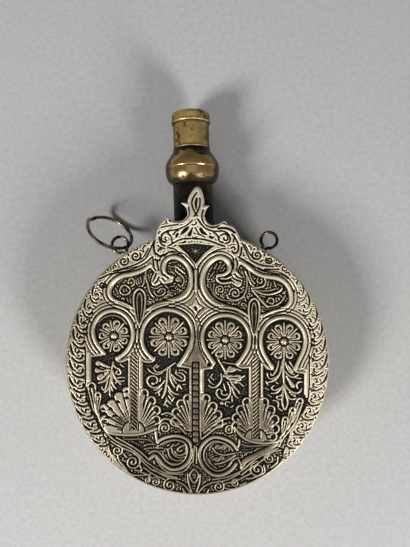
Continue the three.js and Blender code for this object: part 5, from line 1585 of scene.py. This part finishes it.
# Parts the finished sheet into pieces of a handy size
def partSheet(piece):
    bounds = [-math.inf, *plaque["parts"], math.inf]
    for n, (low, high) in enumerate(zip(bounds, bounds[1:])):
        bm = bmesh.new()
        bm.from_mesh(piece.data)
        other = [f for f in bm.faces if not low <= f.calc_center_median().y / mm < high]
        bmesh.ops.delete(bm, geom=other, context="FACES")
        mesh = bpy.data.meshes.new(f"chased_plaque_{n}")
        bm.to_mesh(mesh)
        bm.free()
        mesh.materials.append(silver)
        placePiece(mesh, "flask", ["front_plaque"] if n == 1 else ())
    bpy.data.objects.remove(piece)


# Turns the plaque's edge down over the drum, and in again behind. Each fold is the share of the depth to go
# down, where none stands for the sheet's own, and the share of the sheet to go in
folds = ((0.08, 0.0), (0.9, 0.0), (1.0, 0.14), (1.0, 0.82), (None, 1.0))


def foldEdge(piece):
    bm = bmesh.new()
    bm.from_mesh(piece.data)
    sheet, skirt = plaque["sheet"] * mm, plaque["skirt"] * mm
    nearRim = 0.995

    def isRound(co):
        angle = math.degrees(math.atan2(co.y, co.x)) - plaque["turn"]
        onRim = math.hypot(co.x, co.y) > nearRim * drumRadius * mm
        return onRim and not plaque["roundTo"] < angle < plaque["roundFrom"] + 360

    rim = [e for e in bm.edges if e.is_boundary]
    known = {}             # height of the edge above each new vertex, and whether it is on the round rim
    for step, (down, inset) in enumerate(folds):
        made = bmesh.ops.extrude_edge_only(bm, edges=rim)["geom"]
        fresh = [g for g in made if isinstance(g, bmesh.types.BMVert)]
        rim = [g for g in made if isinstance(g, bmesh.types.BMEdge) and g.is_boundary]
        state = {}
        for v in fresh:
            above = [e.other_vert(v) for e in v.link_edges if e.other_vert(v) in known]
            if step == 0:
                state[v] = (v.co.z, isRound(v.co))
            else:
                state[v] = known[min(above, key=lambda w: (w.co - v.co).length)]
        for v, (top, onRound) in state.items():
            depth = skirt if onRound else sheet
            v.co.z = top - (sheet if down is None else depth * down)
            if onRound:
                v.co.xy = v.co.xy.normalized() * (drumRadius - inset * plaque["sheet"]) * mm
        known.update(state)
    bmesh.ops.recalc_face_normals(bm, faces=bm.faces)
    bm.to_mesh(piece.data)
    bm.free()
    piece.data.polygons.foreach_set("use_smooth", [True] * len(piece.data.polygons))


makePlaque()
print("plaque chased")


# Drum: back pan and side band
drum = {"sides": 192, "sheet": 1.0, "corner": 2.0, "wall": 1.2, "ease": 0.2, "slope": 0.4}
axisGap = 0.01             # radius of the tiny hole that a turned disc has in its middle


# Four corners of a ring's profile: inner and outer radius, foot and top
def ringProfile(inner, outer, foot, top):
    return [(inner, foot), (outer, foot), (outer, top), (inner, top)]


def makeDrum():
    r, t, c, ease = drumRadius, drum["sheet"], drum["corner"], drum["ease"]
    top = backHigh.z
    bend = [(r - c + c * math.sin(a), c - c * math.cos(a)) for a in np.linspace(0, math.pi / 2, 8)]
    inside = [(r - t, top), (r - t, c), (r - c - drum["slope"], t), (axisGap, t)]
    profile = np.array([(axisGap, 0), *bend, (r, top - ease), (r - ease, top), *inside])
    pan = turned(profile, drum["sides"], "Z")
    addPiece("back_pan", *pan, "flask", "drum_brass", drumBrass, ["back_plate"])
    wall = eased(ringProfile(bandHigh.x - drum["wall"], bandHigh.x, bandLow.z, bandHigh.z), ease)
    addPiece("drum_wall", *turned(wall, drum["sides"], "Z"), "flask", "drum_brass", drumBrass, ["side_band"])
    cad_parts["front_plate"].data.materials[0] = drumBrass


makeDrum()
print("drum made")


# Neck, knop and cap, turned about the neck's axis
neck = {"sides": 96, "wobble": 0.05, "spoutWall": 1.2, "skirtZone": 5.6}


def neckPiece(name, profile, body, slot, material, stands, wobble=neck["wobble"], seed=0.0):
    verts, faces = turned(np.array(profile, float), neck["sides"], "Y", wobble, seed)
    addPiece(name, verts, faces, body, slot, material, stands)


def makeNeck():
    tube = eased(ringProfile(seatRadius, sleeveRadius, sleeveLow.y, sleeveHigh.y), 0.25)
    neckPiece("neck_tube", tube, "flask", "dark_brass", darkBrass, ["neck_sleeve"], seed=1.0)
    bore = spoutRadius - neck["spoutWall"]
    spout = eased(ringProfile(bore, spoutRadius, spoutLow.y, spoutHigh.y), 0.35)
    neckPiece("pouring_spout", spout, "flask", "drum_brass", drumBrass, ["spout_tube"], 0.0)
    makeFlare()


# The flared foot is cut off where it meets the drum. Bends are in shares of its height
flare = {"sunk": 1, "straight": 0.3, "waist": 0.7, "waistExtra": 0.5, "wobble": 0.02}


def makeFlare():
    foot, top, wide = saddleLow.y - flare["sunk"], saddleHigh.y, saddleHigh.x
    straight, waist = (foot + flare[k] * (top - foot) for k in ("straight", "waist"))
    narrow = sleeveRadius + flare["waistExtra"]
    points = [(wide, foot), (wide, straight), (narrow, waist), (sleeveRadius, top)]
    profile = np.array([*spline(points, step=0.5), (seatRadius, top), (seatRadius, foot)])
    verts, faces = turned(profile, neck["sides"], "Y", flare["wobble"], 5.0)
    onSkirt = (verts[:, 2] < backHigh.z + seatGap) | (verts[:, 2] > plaqueHigh.z - neck["skirtZone"])
    wall = np.where(onSkirt, drumRadius, bandHigh.x) + seatGap
    verts[:, 1] = np.maximum(verts[:, 1], np.sqrt(wall**2 - verts[:, 0] ** 2))
    addPiece("neck_flare", verts, faces, "flask", "dark_brass", darkBrass, ["neck_saddle"])


# Two shells that meet at a seam. Bends have a share of the swell, and below the seam a height above the foot,
# above it a share of the height down from the top
knop = {
    "wall": 1.0, "rise": 0.5, "seam": 0.03, "wobble": 0.03, "step": 0.6, "lip": 1,
    "lower": [(0.55, 1.55), (0.9, 4.2)],
    "upper": [(0.9, 0.72), (0.52, 0.42), (0.1, 0.16)],
}


# The inner side of a shell: its curve again, a wall further in and a little along
def innerSide(curve, along):
    return [(max(r - knop["wall"], seatRadius), y + along) for r, y in curve[1:-1][::-1]]


def makeKnop():
    foot, seam, top = knopLowerLow.y, knopUpperLow.y, knopUpperHigh.y
    inside, lip = knopRadius - knop["wall"], knop["lip"]
    swell = knopRadius - sleeveRadius
    bends = [(sleeveRadius + share * swell, foot + up) for share, up in knop["lower"]]
    low = spline([(sleeveRadius, foot), *bends, (knopRadius, seam - knop["seam"])], step=knop["step"])
    wall = innerSide(low, knop["rise"])
    shell = [(seatRadius, foot), *low, (inside, knopLowerHigh.y), *wall, (seatRadius, foot + lip)]
    wobble = knop["wobble"]
    neckPiece("knop_lower_shell", shell, "flask", "knop_brass", knopBrass, ["knop_lower"], wobble, 2.0)
    swell, tall = knopRadius - capRadius, top - seam
    bends = [(capRadius + share * swell, top - down * tall) for share, down in knop["upper"]]
    high = spline([(knopRadius, seam), *bends, (capRadius, top)], step=knop["step"])
    wall = innerSide(high, -knop["rise"])
    shell = [*high, (seatRadius, top), (seatRadius, top - lip), *wall, (inside, seam)]
    neckPiece("knop_upper_shell", shell, "flask", "knop_brass", knopBrass, ["knop_upper"], wobble, 3.0)


# Steps of the cap's sleeve and crown: how far in from the radius, and how far up
cap = {
    "wobble": 0.03,
    "sleeve": [(0.0, 0.0), (0.0, 0.7), (0.25, 1.1)],
    "crown": [(0.0, 0.0), (0.0, 0.8), (0.45, 1.15), (0.3, 2.6)],
    "crownTop": [(0.3, 1.2), (1.1, 0.0)],  # how far in, and how far below the top
}


def makeCap():
    low, high = capLow.y, capHigh.y
    steps = [(capRadius - inset, low + up) for inset, up in cap["sleeve"]]
    tube = [(seatRadius, low), *steps, (steps[-1][0], high), (seatRadius, high)]
    neckPiece("cap_sleeve", eased(tube, 0.3), "cap", "cap_brass", capBrass, ["cap_tube"], cap["wobble"], 4.0)
    spigot = seatRadius - seatGap
    top, foot = crownHigh.y, capHigh.y + seatGap
    steps = [(crownRadius - inset, foot + up) for inset, up in cap["crown"]]
    steps += [(crownRadius - inset, top - down) for inset, down in cap["crownTop"]]
    crown = [(axisGap, crownLow.y), (spigot, crownLow.y), (spigot, foot), *steps, (axisGap, top)]
    neckPiece("cap_top", eased(crown, 0.35), "cap", "cap_brass", capBrass, ["cap_crown"], 0.0)
    disc = eased(ringProfile(axisGap, spigot, washerLow.y, washerHigh.y), 0.3)
    neckPiece("leather_disc", disc, "cap", "washer_leather", leather, ["cap_washer"], 0.0)


makeNeck()
makeKnop()
makeCap()
print("neck and cap made")


# Eyelets and ring of drawn wire
eyelets = {
    "angle": 33.0, "wire": 1.5, "loop": 7.9, "stand": 8.1, "legGap": 0.2, "clinch": 2.6,
    "bend": 0.8, "neck": 0.64, "loopFrom": -72,
}
ring = {
    "diameter": 22.6, "wire": 1.8, "tilt": 55.4, "heading": -35.4, "inset": 1.9, "floorGap": 0.05,
    "split": 5.0, "spring": 1.0, "springPart": 8,  # degrees open, and how far one end springs out
    "wear": 0.18, "rubbed": 2.6,  # share worn off the wire where it rubs in the eyelet, and over what length
}


def eyeletPath(side):
    leg, bend = (eyelets["wire"] + eyelets["legGap"]) / 2, eyelets["wire"] * eyelets["bend"]
    inside = bandHigh.x - drum["wall"] - seatGap - eyelets["wire"] / 2
    middle = bandHigh.x + eyelets["stand"]
    half = [(leg + bend + eyelets["clinch"], inside), (leg + bend, inside)]
    half += [(leg + 0.3 * bend, inside + 0.3 * bend), (leg, inside + bend)]
    half += [(leg, bandHigh.x + seatGap), (leg, middle - eyelets["neck"] * eyelets["loop"])]
    half += around((0, middle), eyelets["loop"] / 2, eyelets["loopFrom"], 90, 7).tolist()
    path = spline(half + [(-x, y) for x, y in half[-2::-1]], step=0.4)
    a = math.radians(-side * eyelets["angle"])
    x, y = path.T
    return np.c_[x * math.cos(a) - y * math.sin(a), x * math.sin(a) + y * math.cos(a), np.full(len(x), midZ)]


def ringPath():
    r, tilt, heading = ring["diameter"] / 2, math.radians(ring["tilt"]), math.radians(ring["heading"])
    level = Vector((math.cos(heading), math.sin(heading), 0))
    slope = Vector((-level.y * math.cos(tilt), level.x * math.cos(tilt), -math.sin(tilt)))
    hold, a = bandHigh.x + eyelets["stand"] - ring["inset"], math.radians(eyelets["angle"])
    hook = Vector((-hold * math.sin(a), hold * math.cos(a), midZ))
    high = r * math.sin(tilt) + ring["wire"] / 2 + ring["floorGap"]
    s = (high - midZ) / (r * math.sin(tilt))
    middle = hook - level * r * math.sqrt(1 - s * s) - slope * r * s
    points, radii = [], []
    for t in np.linspace(0, 1, 120):
        turn = math.radians(180 + ring["split"] / 2 + (360 - ring["split"]) * t)
        out = r + ring["spring"] * max(0, 1 - ring["springPart"] * t) ** 2
        points.append(middle + level * out * math.cos(turn) + slope * out * math.sin(turn))
        rub = math.exp(-((points[-1] - hook).length / ring["rubbed"]) ** 2)
        radii.append(ring["wire"] / 2 * (1 - ring["wear"] * rub))
    return points, radii


def makeSuspension():
    for side, name in ((-1, "left"), (1, "right")):
        verts, faces = wire(eyeletPath(side), eyelets["wire"] / 2)
        addPiece(f"wire_eyelet_{name}", verts, faces, "flask", "iron_wire", iron, [f"eyelet_{name}"])
    addPiece("carrying_ring", *wire(*ringPath(), 18), "ring", "iron_wire", ringIron, ["suspension_ring"])


makeSuspension()
print("eyelets and ring made")


# Floor, light and camera
studio = {
    "floor": 3.0,
    "below": 0.02,         # mm, so that the floor and the back don't flicker
    "world": 0.11,
    "worldColour": (1.0, 0.99, 0.97, 1),
    "lamps": [
        {"name": "overheadLight", "at": (0.0, 0.1, 1.1), "size": (0.9, 0.9), "power": 0.5},
        {"name": "leftLight", "at": (-0.84, -0.56, 0.78), "size": (0.28, 0.39), "power": 14.8},
        {"name": "rightLight", "at": (0.64, -0.86, 0.56), "size": (0.28, 0.39), "power": 13.6},
    ],
    "aim": (0.0, 0.04, 0.015),
}
# The camera stands where the photo was taken from: place in mm, lens and sensor, and degrees of lean
photo = {"at": (4.61, 40.8, 249.2), "lens": 31.59, "sensor": 36.0, "lean": -1.8}


def makeStudio():
    half = studio["floor"] / 2
    mesh = bpy.data.meshes.new("floor")
    corners = [(-half, -half, 0), (half, -half, 0), (half, half, 0), (-half, half, 0)]
    mesh.from_pydata(corners, [], [(0, 1, 2, 3)])
    mesh.materials.append(paperFinish())
    floor = bpy.data.objects.new("floor", mesh)
    bpy.context.scene.collection.objects.link(floor)
    floor.location.z = -studio["below"] * mm
    world = bpy.data.worlds.new("studioWorld")
    bpy.context.scene.world = world
    world.use_nodes = True
    back = world.node_tree.nodes["Background"].inputs
    back["Color"].default_value = studio["worldColour"]
    back["Strength"].default_value = studio["world"]
    for lamp in studio["lamps"]:
        light = bpy.data.lights.new(lamp["name"], "AREA")
        light.shape = "RECTANGLE"
        light.size, light.size_y = lamp["size"]
        light.energy = lamp["power"]
        holder = bpy.data.objects.new(lamp["name"], light)
        holder.location = lamp["at"]
        ahead = Vector(studio["aim"]) - Vector(lamp["at"])
        holder.rotation_euler = ahead.to_track_quat("-Z", "Y").to_euler()
        bpy.context.scene.collection.objects.link(holder)


def makeCamera():
    camera = bpy.data.objects.new("photoCamera", bpy.data.cameras.new("photoCamera"))
    camera.data.lens = photo["lens"]
    camera.data.sensor_width = photo["sensor"]
    camera.data.clip_start = 0.01
    camera.location = Vector(photo["at"]) * mm
    camera.rotation_euler = (0, 0, math.radians(photo["lean"]))
    bpy.context.scene.collection.objects.link(camera)
    bpy.context.scene.camera = camera


makeStudio()
makeCamera()
bpy.context.scene.view_settings.view_transform = "Standard"
print("studio made")
